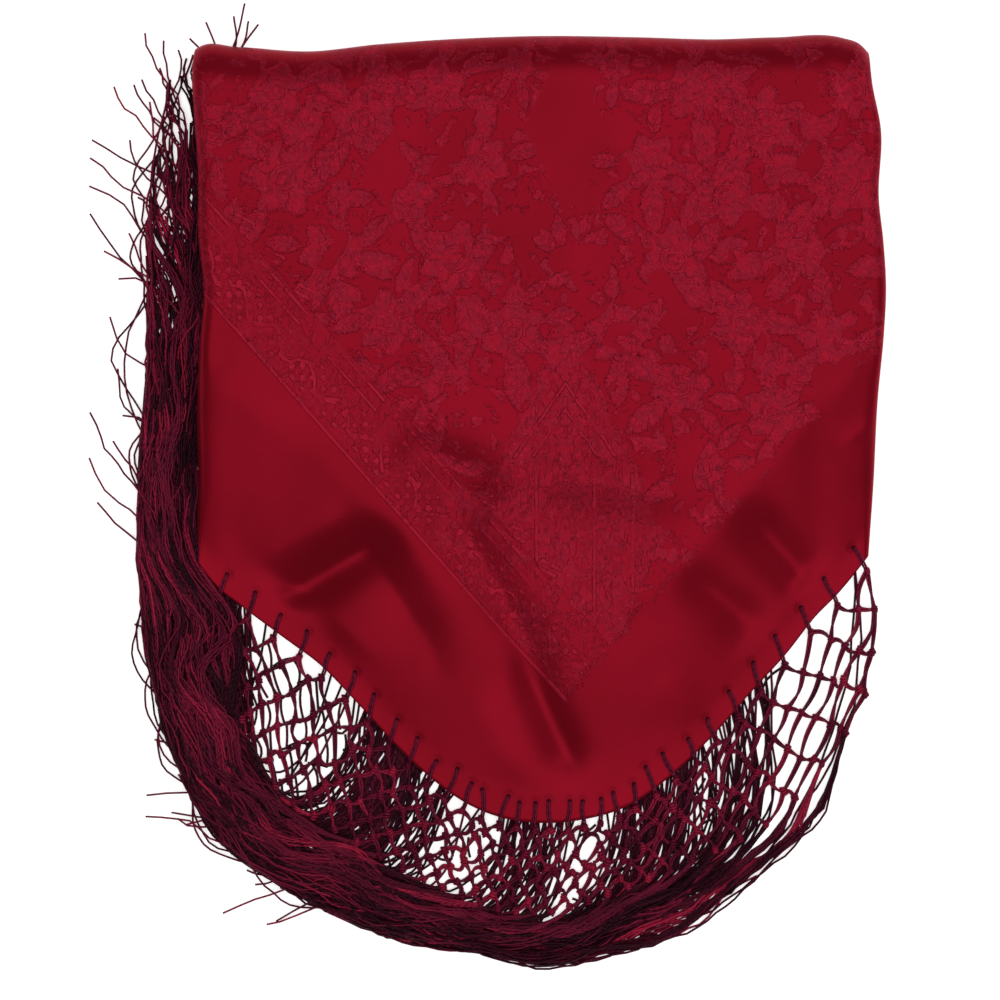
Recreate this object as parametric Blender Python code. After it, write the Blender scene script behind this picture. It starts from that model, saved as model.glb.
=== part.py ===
"""A triangle scarf of jacquard satin with a knotted fringe, folded into a flat packet that lies on a surface.

The rounded corner of the triangle and its two short sides show on top. Loops of yarn go through the cloth
beside the hem, are knotted into a net, and end in a long fringe that is swept to the left and up the left side.
Seen from above, +X is right and +Y is up the packet. Sizes are in metres; the tables are in millimetres.
"""

import math

import bmesh
import bpy
import numpy as np

MM = 0.001

# Driving sizes of the cloth
CLOTH_WALL = 1.0 * MM
SEAM_GAP = 0.3 * MM
PACKET_HEIGHT = 13.5 * MM
HEM_HEIGHT = 3.6 * MM
HEM_SLOPE_LENGTH = 42 * MM
HEM_SLANT = 0.72
SIDE_ROLL = 3.2 * MM
TOP_ROLL_REACH = 10 * MM
TOP_ROLL_DROP = 9.5 * MM
SIDE_ROLL_ANGLES = (90, 60, 30)
TOP_ROLL_ANGLES = (90, 66, 44, 22)
FLAT_COLUMNS = 18
FLAT_ROWS = 16

# Driving sizes of the yarn
LOOP_COUNT = 32
LOOP_MIDDLE_X = 10.5 * MM
LOOP_HALF_SPREAD = 80.5 * MM
LOOP_END_STRETCH = 0.12
LOOP_REACH = 5.5 * MM
LOOP_WIDTH = 0.9 * MM
KNOT_ROWS = 8
KNOT_HALF_WIDTH = 0.72 * MM
KNOT_HALF_LENGTH = 0.85 * MM
NET_WALL = 1.1 * MM
NET_LIFT = 0.35 * MM
NET_FROM_HEM = 2.0 * MM
STRIP_WIDTH = 1.3 * MM
STRIP_HEIGHT = 3.9 * MM
FLOOR_GAP = 0.3 * MM
STRAND_RADIUS = 0.55 * MM
STRAND_LENGTH = 200 * MM
STRANDS_PER_BACKING = 12
STRAND_LAYERS = 3
LOOSE_END = 15 * MM
STATION_STEP = 10 * MM
FIRST_SPACING = 1.3 * MM

# The left fold of the packet, down the side: y_mm, x_mm
LEFT_FOLD = (
    (115.0, -76.2), (108.0, -76.8), (94.0, -76.2), (83.5, -75.5), (64.0, -75.2), (52.5, -74.0),
    (39.0, -75.0), (25.0, -75.7), (-1.0, -75.8), (-14.0, -76.7),
)
# The right fold: y_mm, x_mm
RIGHT_FOLD = (
    (115.0, 92.2), (105.0, 92.8), (92.5, 95.1), (75.0, 94.6), (65.0, 95.7), (52.5, 96.4),
    (42.0, 95.9), (25.0, 94.5), (5.0, 93.7), (-14.0, 92.5),
)
# The top fold: x_mm, y_mm
TOP_FOLD = (
    (-77.0, 112.6), (-75.0, 113.8), (-66.0, 113.6), (-47.5, 112.5), (-31.0, 114.2), (-11.0, 115.6),
    (7.5, 116.3), (35.0, 116.0), (54.0, 115.5), (69.0, 116.0), (86.0, 115.8), (90.0, 114.4), (93.0, 111.4),
)
# The hem, from the left fold round the corner of the triangle to the right fold: x_mm, y_mm
HEM_LINE = (
    (-77.0, -14.0), (-71.5, -21.2), (-65.0, -26.5), (-54.0, -34.7), (-44.7, -41.7), (-36.0, -50.7),
    (-25.2, -62.4), (-18.2, -69.0), (-8.2, -76.2), (0.5, -79.7), (10.0, -81.0), (20.5, -80.2),
    (34.0, -75.7), (41.0, -70.7), (53.0, -59.5), (62.7, -48.5), (72.5, -37.7), (78.7, -29.7),
    (85.2, -23.0), (92.5, -14.0),
)
# Soft troughs (negative) and ridges of the top layer: from x, y to x, y, depth and half width, all mm
CREASES = (
    (-60.0, -29.0, -27.0, -8.5, -1.9, 5.0),
    (-62.0, -15.0, -38.0, -4.0, 0.7, 6.0),
    (5.0, -34.0, 21.0, -72.0, -1.6, 4.5),
    (-6.0, -48.0, 6.0, -72.0, 0.7, 6.0),
    (61.0, -2.0, 80.0, -24.0, -1.3, 4.5),
    (47.0, -18.0, 66.0, -34.0, -0.9, 4.5),
    (-20.0, 20.0, 2.0, 4.0, -0.9, 7.0),
    (-19.0, -31.0, -14.0, -46.0, -0.6, 5.0),
)
# How far the net has slid sideways by its last row: x of a loop at the hem, x of its last knot, mm
NET_LEAN = (
    (-70.0, -66.2), (-65.0, -62.9), (-60.0, -60.0), (-54.5, -56.0), (-44.0, -46.8), (-30.0, -33.0),
    (-12.0, -13.8),
    (12.0, 11.5), (40.0, 38.5), (65.0, 65.0), (78.0, 78.5), (91.0, 89.5),
)
# The sweep of the fringe from the right end of the net round to the top left corner, a row for each
# section across it: the inner side x, y and the outer side x, y in mm, then the spacing of its layers
SWEEP = (
    (91.7, -51.0, 94.0, -52.0, 1.3), (86.7, -58.7, 90.6, -61.4, 1.3), (80.0, -68.0, 85.3, -73.5, 1.3),
    (69.2, -80.7, 75.0, -86.5, 1.3), (57.0, -87.5, 61.0, -98.2, 1.3), (42.0, -94.2, 47.5, -108.0, 1.3),
    (25.0, -100.5, 28.7, -114.2, 1.3), (11.2, -104.7, 11.2, -117.0, 1.35), (-2.5, -103.0, -6.2, -113.5, 1.4),
    (-17.5, -97.0, -23.0, -111.0, 1.45), (-32.0, -89.5, -40.0, -104.5, 1.5), (-46.0, -81.0, -56.0, -96.5, 1.55),
    (-58.6, -71.8, -71.4, -84.3, 1.6), (-66.4, -58.0, -82.8, -62.3, 1.7), (-69.0, -43.0, -88.5, -39.5, 1.8),
    (-71.5, -28.0, -90.5, -19.0, 1.8), (-78.6, -13.5, -90.7, -7.0, 1.8), (-78.8, 5.5, -90.2, 10.5, 1.8),
    (-78.3, 28.0, -88.7, 30.5, 1.8), (-77.6, 50.0, -88.2, 52.5, 1.75), (-78.3, 70.0, -88.2, 70.0, 1.6),
    (-78.5, 87.5, -86.7, 85.0, 1.5), (-79.5, 101.2, -84.0, 98.7, 1.4), (-80.0, 113.0, -83.0, 113.0, 1.3),
)
NET_END_SECTION = 13.2
# The three backings and where along the net each begins and ends, as shares of the net's last row
BACKINGS = (("fringe_right", 0.0, 0.334), ("fringe_middle", 0.334, 0.667), ("fringe_left", 0.667, 1.0))


def smooth(share):
    """An even rise from 0 to 1, level at both ends."""
    share = np.clip(share, 0.0, 1.0)
    return share * share * (3 - 2 * share)


def read_table(rows, at, column=1):
    """A smooth curve through a table's rows, from its first column to another one."""
    rows = sorted(rows)
    xs = np.array([row[0] for row in rows])
    ys = np.array([row[column] for row in rows])
    slopes = np.gradient(ys, xs)
    at = np.clip(at, xs[0], xs[-1])
    i = np.clip(np.searchsorted(xs, at) - 1, 0, len(xs) - 2)
    width = xs[i + 1] - xs[i]
    t = (at - xs[i]) / width
    return (
        ys[i] * (2 * t**3 - 3 * t**2 + 1)
        + slopes[i] * width * (t**3 - 2 * t**2 + t)
        + ys[i + 1] * (3 * t**2 - 2 * t**3)
        + slopes[i + 1] * width * (t**3 - t**2)
    )


def line_at(rows, metres):
    """The same, with both columns in metres."""
    return read_table(rows, metres / MM) * MM


def crease_height(x, y):
    """The soft troughs and ridges of the top layer at a point."""
    height = 0.0
    for x1, y1, x2, y2, depth, half_width in np.array(CREASES) * MM:
        run = np.array((x2 - x1, y2 - y1))
        length = np.linalg.norm(run)
        along = ((x - x1) * run[0] + (y - y1) * run[1]) / length**2
        across = ((x - x1) * run[1] - (y - y1) * run[0]) / length
        fade = math.exp(-((2.2 * (along - 0.5)) ** 4))
        height += depth * fade * math.exp(-((across / half_width) ** 2))
    return height


def cloth_top(x, y):
    """The height of the top layer's outer face above the surface that the packet lies on."""
    from_hem = (y - line_at(HEM_LINE, x)) * HEM_SLANT
    rise = smooth(from_hem / HEM_SLOPE_LENGTH)
    return HEM_HEIGHT + (PACKET_HEIGHT - HEM_HEIGHT) * rise + crease_height(x, y) * smooth(rise * 4)


def roll_share(angle):
    """How far in from the fold a point of a roll lies, as a share of the roll's reach."""
    return 1 - math.sin(math.radians(angle))


def cloth_point(column, row, depth, hem_inset):
    """A point of the packet's skin, depth below its outer face. A column or row is (kind, value)."""
    kind_x, value_x = column
    kind_y, value_y = row
    reach_y = TOP_ROLL_REACH - depth
    drop_y = TOP_ROLL_DROP - depth
    x, y = 0.0, 0.0
    for _ in range(4):
        left = line_at(LEFT_FOLD, y) + depth
        right = line_at(RIGHT_FOLD, y) - depth
        middle = (left + right) / 2
        roll = max(0.15 * MM, min(SIDE_ROLL, 0.42 * cloth_top(middle, y), 0.42 * cloth_top(x, y)) - depth)
        if kind_x == "left":
            x = left + roll * roll_share(value_x)
        elif kind_x == "right":
            x = right - roll * roll_share(value_x)
        else:
            x = left + roll + (right - left - 2 * roll) * value_x
        top = line_at(TOP_FOLD, x) - depth
        hem = line_at(HEM_LINE, x) + (hem_inset if value_y == 1 else 0)
        if kind_y == "top":
            y = top - reach_y * roll_share(value_y)
        else:
            y = top - reach_y - (top - reach_y - hem) * value_y
    side_angle = value_x if kind_x in ("left", "right") else 0
    top_angle = value_y if kind_y == "top" else 0
    drop = math.hypot(
        roll * (1 - math.cos(math.radians(side_angle))),
        drop_y * (1 - math.cos(math.radians(top_angle))),
    )
    return (x, y, cloth_top(x, y) - depth - drop)


def cloth_grid(depth, hem_inset):
    """Rows of points from the top fold to the hem, each from the left fold to the right one."""
    columns = [("left", angle) for angle in SIDE_ROLL_ANGLES]
    columns += [("flat", i / (FLAT_COLUMNS - 1)) for i in range(FLAT_COLUMNS)]
    columns += [("right", angle) for angle in reversed(SIDE_ROLL_ANGLES)]
    rows = [("top", angle) for angle in TOP_ROLL_ANGLES]
    rows += [("flat", i / (FLAT_ROWS - 1)) for i in range(FLAT_ROWS)]
    return [[cloth_point(column, row, depth, hem_inset) for column in columns] for row in rows]


def fold_edge(grid):
    """The grid's edge along the folds: up the left one, over the top, and down the right one."""
    return [row[0] for row in reversed(grid)] + grid[0][1:-1] + [row[-1] for row in grid]


def whole_edge(grid):
    """The grid's whole edge, the folds and then back along the hem."""
    return fold_edge(grid) + grid[-1][-2:0:-1]


def moved_in(point, inset, height):
    """A point moved towards the packet's middle, and set at a height."""
    reach = math.hypot(point[0], point[1])
    share = (reach - inset) / reach
    return (point[0] * share, point[1] * share, height)


def top_share(point):
    """1 on the top fold, 0 well down the sides."""
    return float(smooth((point[1] - 98 * MM) / (10 * MM)))


def add_grid(mesh, grid, flipped):
    """The grid's points as vertices and its faces."""
    vertices = [[mesh.verts.new(point) for point in row] for row in grid]
    for upper, lower in zip(vertices, vertices[1:]):
        for i in range(len(upper) - 1):
            face = (upper[i], lower[i], lower[i + 1], upper[i + 1])
            mesh.faces.new(reversed(face) if flipped else face)
    return vertices


def join_rows(mesh, first, second, closed=False):
    """A band of faces between two rows of vertices with the same number in each."""
    count = len(first)
    for i in range(count if closed else count - 1):
        j = (i + 1) % count
        mesh.faces.new((first[i], first[j], second[j], second[i]))


def finished(name, mesh, material, sharp_angle=35):
    """The mesh as a named, smooth-shaded object with its normals facing out."""
    bmesh.ops.triangulate(mesh, faces=mesh.faces)
    bmesh.ops.recalc_face_normals(mesh, faces=mesh.faces)
    data = bpy.data.meshes.new(name)
    mesh.to_mesh(data)
    mesh.free()
    data.shade_smooth()
    data.set_sharp_from_angle(angle=math.radians(sharp_angle))
    data.materials.append(material)
    thing = bpy.data.objects.new(name, data)
    bpy.context.scene.collection.objects.link(thing)
    return thing


def material_of(name, colour, roughness):
    """A plain fibre material."""
    material = bpy.data.materials.new(name)
    material.use_nodes = True
    shader = material.node_tree.nodes["Principled BSDF"]
    shader.inputs["Base Color"].default_value = (*colour, 1)
    shader.inputs["Roughness"].default_value = roughness
    shader.inputs["Metallic"].default_value = 0
    return material


def skirt_row(grid, share, depth):
    """The panel's edge carried on down the folds: just under the side rolls, and to the floor at the top."""
    row = []
    for point in fold_edge(grid):
        side_drop = 0.8 * min(SIDE_ROLL, 0.42 * (point[2] + SIDE_ROLL)) * share
        top_drop = (point[2] - 0.6 * MM) * share
        on_top = top_share(point)
        drop = side_drop * (1 - on_top) + top_drop * on_top
        lowest = 0.9 * MM
        inset = (0.5 * (1 - on_top) + 0.9 * on_top) * MM * share**2
        row.append(moved_in(point, inset, max(lowest, point[2] - drop)))
    return row


def build_front_panel(material):
    """The top layer of cloth: a wall over the packet, rolled down over its three folds, open at the hem."""
    mesh = bmesh.new()
    walls = []
    for depth, flipped in ((0.0, False), (CLOTH_WALL, True)):
        grid = cloth_grid(depth, 0.0)
        vertices = add_grid(mesh, grid, flipped)
        edge = fold_edge(vertices)
        for share in (0.5, 1.0):
            lower = [mesh.verts.new(point) for point in skirt_row(grid, share, depth)]
            join_rows(mesh, edge, lower)
            edge = lower
        sides = {"hem": vertices[-1], "skirt": edge}
        left = [vertices[-1][0]]
        right = [vertices[-1][-1]]
        walls.append((sides, left, right, grid))
    outer, inner = walls[0][0], walls[1][0]
    join_rows(mesh, outer["hem"], inner["hem"])
    join_rows(mesh, outer["skirt"], inner["skirt"])
    close_open_edges(mesh)
    return finished("front_panel", mesh, material)


def close_open_edges(mesh):
    """Fills the two short ends of the skirt, beside the hem."""
    open_edges = [edge for edge in mesh.edges if edge.is_boundary]
    bmesh.ops.holes_fill(mesh, edges=open_edges, sides=0)


def layer_profile(point, height):
    """The side of the folded layers below the panel: (inset, height) pairs, a bulge for each fold."""
    on_top = top_share(point)
    on_left = float(smooth(-point[0] / (20 * MM))) * (1 - on_top)
    peeps_out = math.exp(-(((point[1] - 78 * MM) / (9 * MM)) ** 2)) * float(smooth(point[0] / (40 * MM)))
    under_top = 1.5 * on_top
    bulge = ((0.5 + 2.2 * on_left - 0.9 * peeps_out) * (1 - on_top) + under_top) * MM
    groove = ((1.9 + 1.6 * on_left) * (1 - on_top) + under_top) * MM
    foot = (1.8 + 1.0 * on_left) * MM
    return (
        (groove, 0.80 * height),
        (bulge, 0.64 * height),
        (groove, 0.44 * height),
        (bulge, 0.24 * height),
    ), foot


def build_folded_layers(material):
    """The cloth folded behind the panel: one rounded solid, with a bulge for each fold along its sides."""
    mesh = bmesh.new()
    grid = cloth_grid(CLOTH_WALL + SEAM_GAP, 3.0 * MM)
    vertices = add_grid(mesh, grid, flipped=False)
    points = whole_edge(grid)
    ring = whole_edge(vertices)
    profiles = [layer_profile(point, point[2]) for point in points]
    for level in range(4):
        lower = []
        for point, (pairs, _) in zip(points, profiles):
            inset, height = pairs[level]
            lower.append(mesh.verts.new(moved_in(point, inset, height)))
        join_rows(mesh, ring, lower, closed=True)
        ring = lower
    corner = math.atan2(114, -77)
    foot_ring = []
    for point, (_, foot) in zip(points, profiles):
        turn = math.atan2(point[1], point[0]) - corner
        lifted = 13 * MM * math.exp(-((turn / 0.13) ** 2))
        foot_ring.append(mesh.verts.new(moved_in(point, foot + lifted, 0.0)))
    join_rows(mesh, ring, foot_ring, closed=True)
    mesh.faces.new(foot_ring)
    return finished("folded_layers", mesh, material)


def sweep_curve():
    """The sweep's sections, read finely, and the distance along its inner side."""
    rows = [(float(i), *row) for i, row in enumerate(SWEEP)]
    at = np.linspace(0, len(rows) - 1, 20 * (len(rows) - 1) + 1)
    inner = np.stack([read_table(rows, at, 1), read_table(rows, at, 2)], axis=1) * MM
    outer = np.stack([read_table(rows, at, 3), read_table(rows, at, 4)], axis=1) * MM
    spacing = read_table(rows, at, 5) * MM
    middle = (inner + outer) / 2
    steps = np.linalg.norm(np.diff(middle, axis=0), axis=1)
    distance = np.concatenate([[0], np.cumsum(steps)])
    return {"at": at, "inner": inner, "outer": outer, "spacing": spacing, "distance": distance}


def read_sweep(sweep, name, distance):
    """The sweep's inner or outer side, or its layer spacing, at a distance along it."""
    values = sweep[name]
    if values.ndim == 1:
        return np.interp(distance, sweep["distance"], values)
    return np.array([np.interp(distance, sweep["distance"], values[:, k]) for k in range(2)])


def net_length(sweep):
    """How far along the sweep the net's last row runs."""
    return float(np.interp(NET_END_SECTION, sweep["at"], sweep["distance"]))


def outward(sweep, distance):
    """The direction across the sweep, from its inner side to its outer side, square to its run."""
    ahead = read_sweep(sweep, "inner", distance + 1.5 * MM)
    behind = read_sweep(sweep, "inner", max(0.0, distance - 1.5 * MM))
    run = ahead - behind
    run = run / np.linalg.norm(run)
    return np.array((-run[1], run[0]))


def loop_x(place):
    """Where a loop of yarn meets the hem, counted from the left: they stand further apart at the ends."""
    t = 2 * place / (LOOP_COUNT - 1) - 1
    return LOOP_MIDDLE_X + LOOP_HALF_SPREAD * ((1 - LOOP_END_STRETCH) * t + LOOP_END_STRETCH * t**3)


def hem_outward(x):
    """The direction in which the loop at x crosses the hem, between square to it and straight down."""
    slope = (line_at(HEM_LINE, x + MM) - line_at(HEM_LINE, x - MM)) / (2 * MM)
    square = np.array((slope, -1.0)) / math.hypot(slope, 1.0)
    blend = square + np.array((0.0, -1.0))
    return blend / np.linalg.norm(blend)


def last_knot(sweep, x):
    """The knot of the last row that a loop at x on the hem leads to, just inside the fringe's backing."""
    wanted = line_at(NET_LEAN, x)
    strip = [(d, read_sweep(sweep, "inner", d)[0]) for d in np.linspace(0, net_length(sweep), 120)]
    distance = float(np.interp(-wanted, [-place for _, place in strip], [d for d, _ in strip]))
    clear = KNOT_HALF_LENGTH + SEAM_GAP + STRIP_WIDTH / 2
    return read_sweep(sweep, "inner", distance) - outward(sweep, distance) * clear


def knot_places(sweep):
    """The knots of the net in plan, row by row; odd rows sit between the columns of even ones."""
    rows = []
    for row in range(KNOT_ROWS):
        shift = 0.5 * (row % 2)
        share = row / (KNOT_ROWS - 1)
        places = []
        for i in range(LOOP_COUNT - row % 2):
            x = loop_x(i + shift)
            first = np.array((x, line_at(HEM_LINE, x))) + hem_outward(x) * NET_FROM_HEM
            last = last_knot(sweep, x)
            sway = 0.35 * MM * math.sin(1.9 * i + 2.3 * row) * math.sin(math.pi * share)
            places.append(first + (last - first) * share + np.array((sway, -sway)))
        rows.append(places)
    return rows


KNOT_CORNERS = {
    "north": (0.0, KNOT_HALF_LENGTH),
    "east": (KNOT_HALF_WIDTH, 0.0),
    "south": (0.0, -KNOT_HALF_LENGTH),
    "west": (-KNOT_HALF_WIDTH, 0.0),
}


def build_knotted_net(sweep, material):
    """The net: diamond knots joined by flat cords, and a loop from each first knot up over the cloth's edge."""
    mesh = bmesh.new()
    places = knot_places(sweep)
    layers = []
    for height in (NET_LIFT + NET_WALL, NET_LIFT):
        layers.append([
            [
                {side: mesh.verts.new((*(place + np.array(shift)), height)) for side, shift in KNOT_CORNERS.items()}
                for place in row
            ]
            for row in places
        ])
    for number, knots in enumerate(layers):
        add_net_faces(mesh, knots, with_first_row=number == 1)
    add_net_walls(mesh, *layers)
    for place, knot in zip(places[0], layers[0][0]):
        add_loop(mesh, place, knot)
    return finished("knotted_net", mesh, material)


def cord_ends(knots, row, i):
    """The knots below one knot and the corners that each cord joins: (lower knot, its two corners, ours)."""
    if row + 1 >= len(knots):
        return
    left = i - 1 if row % 2 == 0 else i
    right = left + 1
    below = knots[row + 1]
    if left >= 0:
        yield below[left], ("west", "south"), ("north", "east")
    if right < len(below):
        yield below[right], ("south", "east"), ("west", "north")


def add_net_faces(mesh, knots, with_first_row):
    """The knots and cords of one side of the net."""
    for row, line in enumerate(knots):
        for i, knot in enumerate(line):
            if row > 0 or with_first_row:
                mesh.faces.new([knot[side] for side in ("north", "west", "south", "east")])
            for lower, ours, theirs in cord_ends(knots, row, i):
                mesh.faces.new((knot[ours[0]], knot[ours[1]], lower[theirs[1]], lower[theirs[0]]))


def add_net_walls(mesh, upper, lower):
    """The upright walls between the two sides of the net, wherever the upper one has an open edge."""
    partner = {}
    for line_up, line_down in zip(upper, lower):
        for top, bottom in zip(line_up, line_down):
            for side in KNOT_CORNERS:
                partner[top[side]] = bottom[side]
    first_row = {vertex for knot in upper[0] for vertex in knot.values()}
    open_edges = [edge for edge in mesh.edges if edge.is_boundary and edge.verts[0] in partner]
    for edge in open_edges:
        a, b = edge.verts
        if not (a in first_row and b in first_row):
            mesh.faces.new((a, b, partner[b], partner[a]))
    for knot in upper[0]:
        for a, b in (("north", "west"), ("east", "north"), ("west", "south"), ("south", "east")):
            if mesh.edges.get((knot[a], knot[b])) is None:
                mesh.faces.new((knot[a], knot[b], partner[knot[b]], partner[knot[a]]))


def add_loop(mesh, place, knot):
    """A loop from a first knot up over the cloth's edge and onto the cloth, where it goes through."""
    ring = [knot[side] for side in ("north", "west", "south", "east")]
    inwards = -hem_outward(place[0])
    side = np.array((-inwards[1], inwards[0])) * LOOP_WIDTH / 2
    thick = LOOP_WIDTH * 0.75
    sections = ((NET_FROM_HEM - 0.6 * MM, NET_FROM_HEM - 1.25 * MM), (LOOP_REACH, LOOP_REACH))
    for low_reach, high_reach in sections:
        low, high = place + inwards * low_reach, place + inwards * high_reach
        ground = cloth_top(*(place + inwards * max(low_reach, NET_FROM_HEM))) + SEAM_GAP + 0.1 * MM
        corners = (
            (low + side, ground),
            (high + side, ground + thick),
            (high - side, ground + thick),
            (low - side, ground),
        )
        upper = match_ring(ring, [mesh.verts.new((*spot, height)) for spot, height in corners])
        join_rows(mesh, ring, upper, closed=True)
        ring = upper
    mesh.faces.new(ring)


def match_ring(ring, other):
    """The other ring's vertices, turned and if need be reversed so that they follow the first ring's."""
    best = None
    for order in (other, other[::-1]):
        for shift in range(len(order)):
            turned = order[shift:] + order[:shift]
            cost = sum((a.co - b.co).length for a, b in zip(ring, turned))
            if best is None or cost < best[0]:
                best = (cost, turned)
    return best[1]


def strand_length(sweep, root):
    """How long a strand is: those from the left of the net reach the end of the sweep and no further."""
    shortest = float(sweep["distance"][-1]) - net_length(sweep) - 2 * MM
    return STRAND_LENGTH + (shortest - STRAND_LENGTH) * root / net_length(sweep)


def oldest_root(sweep, distance):
    """The root of the strand that ends at a distance along the sweep."""
    shrink = (strand_length(sweep, 0.0) - strand_length(sweep, net_length(sweep))) / net_length(sweep)
    return max(0.0, (distance - STRAND_LENGTH) / (1 - shrink))


def strand_path(sweep, number, root, layer):
    """The points down the middle of a strand, from inside its backing to its free end."""
    uneven = (0.618 * number) % 1.0
    end = root + strand_length(sweep, root) - 5 * MM * uneven
    first_station = STATION_STEP * math.ceil((root + 7 * MM) / STATION_STEP)
    stations = [root, root + 4 * MM, *np.arange(first_station, end - 4 * MM, STATION_STEP), end]
    net_end = net_length(sweep)
    flare = (2 + 6 * uneven) * MM
    points = []
    for distance in stations:
        inner = read_sweep(sweep, "inner", distance)
        outer = read_sweep(sweep, "outer", distance)
        across = outward(sweep, distance)
        youngest = min(distance, net_end)
        lane = (youngest - root) / max(youngest - oldest_root(sweep, distance), 10 * MM)
        beside_strip = float(smooth((net_end + 30 * MM - distance) / (20 * MM)))
        start = inner + across * (STRIP_WIDTH / 2 + STRAND_RADIUS + 0.8 * MM) * beside_strip
        leaving = float(smooth((distance - root) / (6 * MM)))
        spot = start + (outer - start) * max(0.0, lane)
        spot = inner + (spot - inner) * leaving
        loose = float(np.clip((distance - (end - LOOSE_END)) / LOOSE_END, 0, 1)) ** 2
        spot = spot + across * flare * loose
        spacing = FIRST_SPACING + (float(read_sweep(sweep, "spacing", distance)) - FIRST_SPACING) * leaving
        points.append((*spot, FLOOR_GAP + 0.6 * MM + layer * spacing))
    return points


def add_tube(mesh, points, radius, sides=3):
    """A closed tube with flat ends through the points, its first side up."""
    rings = []
    for i, point in enumerate(points):
        ahead = points[min(i + 1, len(points) - 1)]
        behind = points[max(i - 1, 0)]
        run = np.array(ahead[:2]) - np.array(behind[:2])
        run = run / np.linalg.norm(run)
        side = np.array((-run[1], run[0]))
        ring = []
        for k in range(sides):
            turn = math.pi / 2 + 2 * math.pi * k / sides
            spot = np.array(point[:2]) + side * radius * math.cos(turn)
            ring.append(mesh.verts.new((*spot, point[2] + radius * math.sin(turn))))
        rings.append(ring)
    for first, second in zip(rings, rings[1:]):
        join_rows(mesh, first, second, closed=True)
    mesh.faces.new(rings[0])
    mesh.faces.new(rings[-1])


def add_strip(mesh, sweep, start, end):
    """The backing: an upright strip with a rounded top along part of the net's last row."""
    profile = ((-0.5, 0.0), (0.5, 0.0), (0.5, 0.85), (0.0, 1.0), (-0.5, 0.85))
    rings = []
    count = max(3, round((end - start) / (6 * MM)))
    for distance in np.linspace(start, end, count):
        centre = read_sweep(sweep, "inner", distance)
        across = outward(sweep, distance)
        ring = []
        for x, z in profile:
            spot = centre + across * x * STRIP_WIDTH
            ring.append(mesh.verts.new((*spot, FLOOR_GAP + z * STRIP_HEIGHT)))
        rings.append(ring)
    for first, second in zip(rings, rings[1:]):
        join_rows(mesh, first, second, closed=True)
    mesh.faces.new(rings[0])
    mesh.faces.new(rings[-1])


def build_fringe(sweep, name, share_from, share_to, material):
    """One backing with its strands, which stand apart from each other but for their roots in it."""
    net_end = net_length(sweep)
    start = net_end * share_from + 0.3 * MM
    end = net_end * share_to - 0.3 * MM
    strip = bmesh.new()
    add_strip(strip, sweep, start, end)
    strands = bmesh.new()
    for number, root in enumerate(np.linspace(start + 1.5 * MM, end - 5 * MM, STRANDS_PER_BACKING)):
        add_tube(strands, strand_path(sweep, number, float(root), number % STRAND_LAYERS), STRAND_RADIUS)
    backing = finished(name, strip, material)
    tool = finished(name + "_strands", strands, material)
    tool.hide_render = True
    tool.display_type = "WIRE"
    union = backing.modifiers.new("strands", "BOOLEAN")
    union.operation = "UNION"
    union.solver = "EXACT"
    union.object = tool
    return backing


def centre_over_origin():
    """Moves everything sideways so that the origin is under the middle of the whole object's box."""
    bpy.context.view_layer.update()
    graph = bpy.context.evaluated_depsgraph_get()
    corners = []
    for thing in bpy.context.scene.objects:
        if not thing.hide_render:
            corners += [vertex.co.copy() for vertex in thing.evaluated_get(graph).data.vertices]
    middle = [(min(c[k] for c in corners) + max(c[k] for c in corners)) / 2 for k in range(2)]
    for thing in bpy.context.scene.objects:
        thing.location = (-middle[0], -middle[1], 0)


def main():
    for thing in list(bpy.data.objects):
        bpy.data.objects.remove(thing, do_unlink=True)
    satin = material_of("crimson_satin", (0.205, 0.0055, 0.0135), 0.45)
    yarn = material_of("wine_yarn", (0.095, 0.006, 0.024), 0.5)
    build_front_panel(satin)
    build_folded_layers(satin)
    sweep = sweep_curve()
    build_knotted_net(sweep, yarn)
    for name, share_from, share_to in BACKINGS:
        build_fringe(sweep, name, share_from, share_to, yarn)
    centre_over_origin()


main()
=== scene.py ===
"""A folded triangle scarf: crimson satin jacquard with a knotted net and a long fringe of wine-red yarn.

The scarf lies flat on a pale surface and is seen from straight above. Tables are in millimetres on the
packet's own axes, +X right and +Y up the packet; the meshes are in metres in the frame of the CAD model.
"""

import math

import bmesh
import bpy
import numpy as np
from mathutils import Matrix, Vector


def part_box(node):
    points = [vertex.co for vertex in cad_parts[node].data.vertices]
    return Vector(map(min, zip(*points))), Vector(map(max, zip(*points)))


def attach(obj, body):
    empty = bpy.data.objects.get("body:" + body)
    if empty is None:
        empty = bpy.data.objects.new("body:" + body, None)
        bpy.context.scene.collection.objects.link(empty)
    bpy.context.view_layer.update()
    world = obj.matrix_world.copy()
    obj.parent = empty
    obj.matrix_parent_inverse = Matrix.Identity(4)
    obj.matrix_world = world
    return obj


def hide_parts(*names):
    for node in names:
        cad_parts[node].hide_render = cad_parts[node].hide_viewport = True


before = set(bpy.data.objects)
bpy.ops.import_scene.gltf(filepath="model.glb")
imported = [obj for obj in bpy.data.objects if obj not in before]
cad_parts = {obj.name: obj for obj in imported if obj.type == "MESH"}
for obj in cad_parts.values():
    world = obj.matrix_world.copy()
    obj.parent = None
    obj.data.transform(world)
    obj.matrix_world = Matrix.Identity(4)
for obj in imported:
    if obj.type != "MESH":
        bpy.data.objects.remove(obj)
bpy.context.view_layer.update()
MM = 0.001

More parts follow.
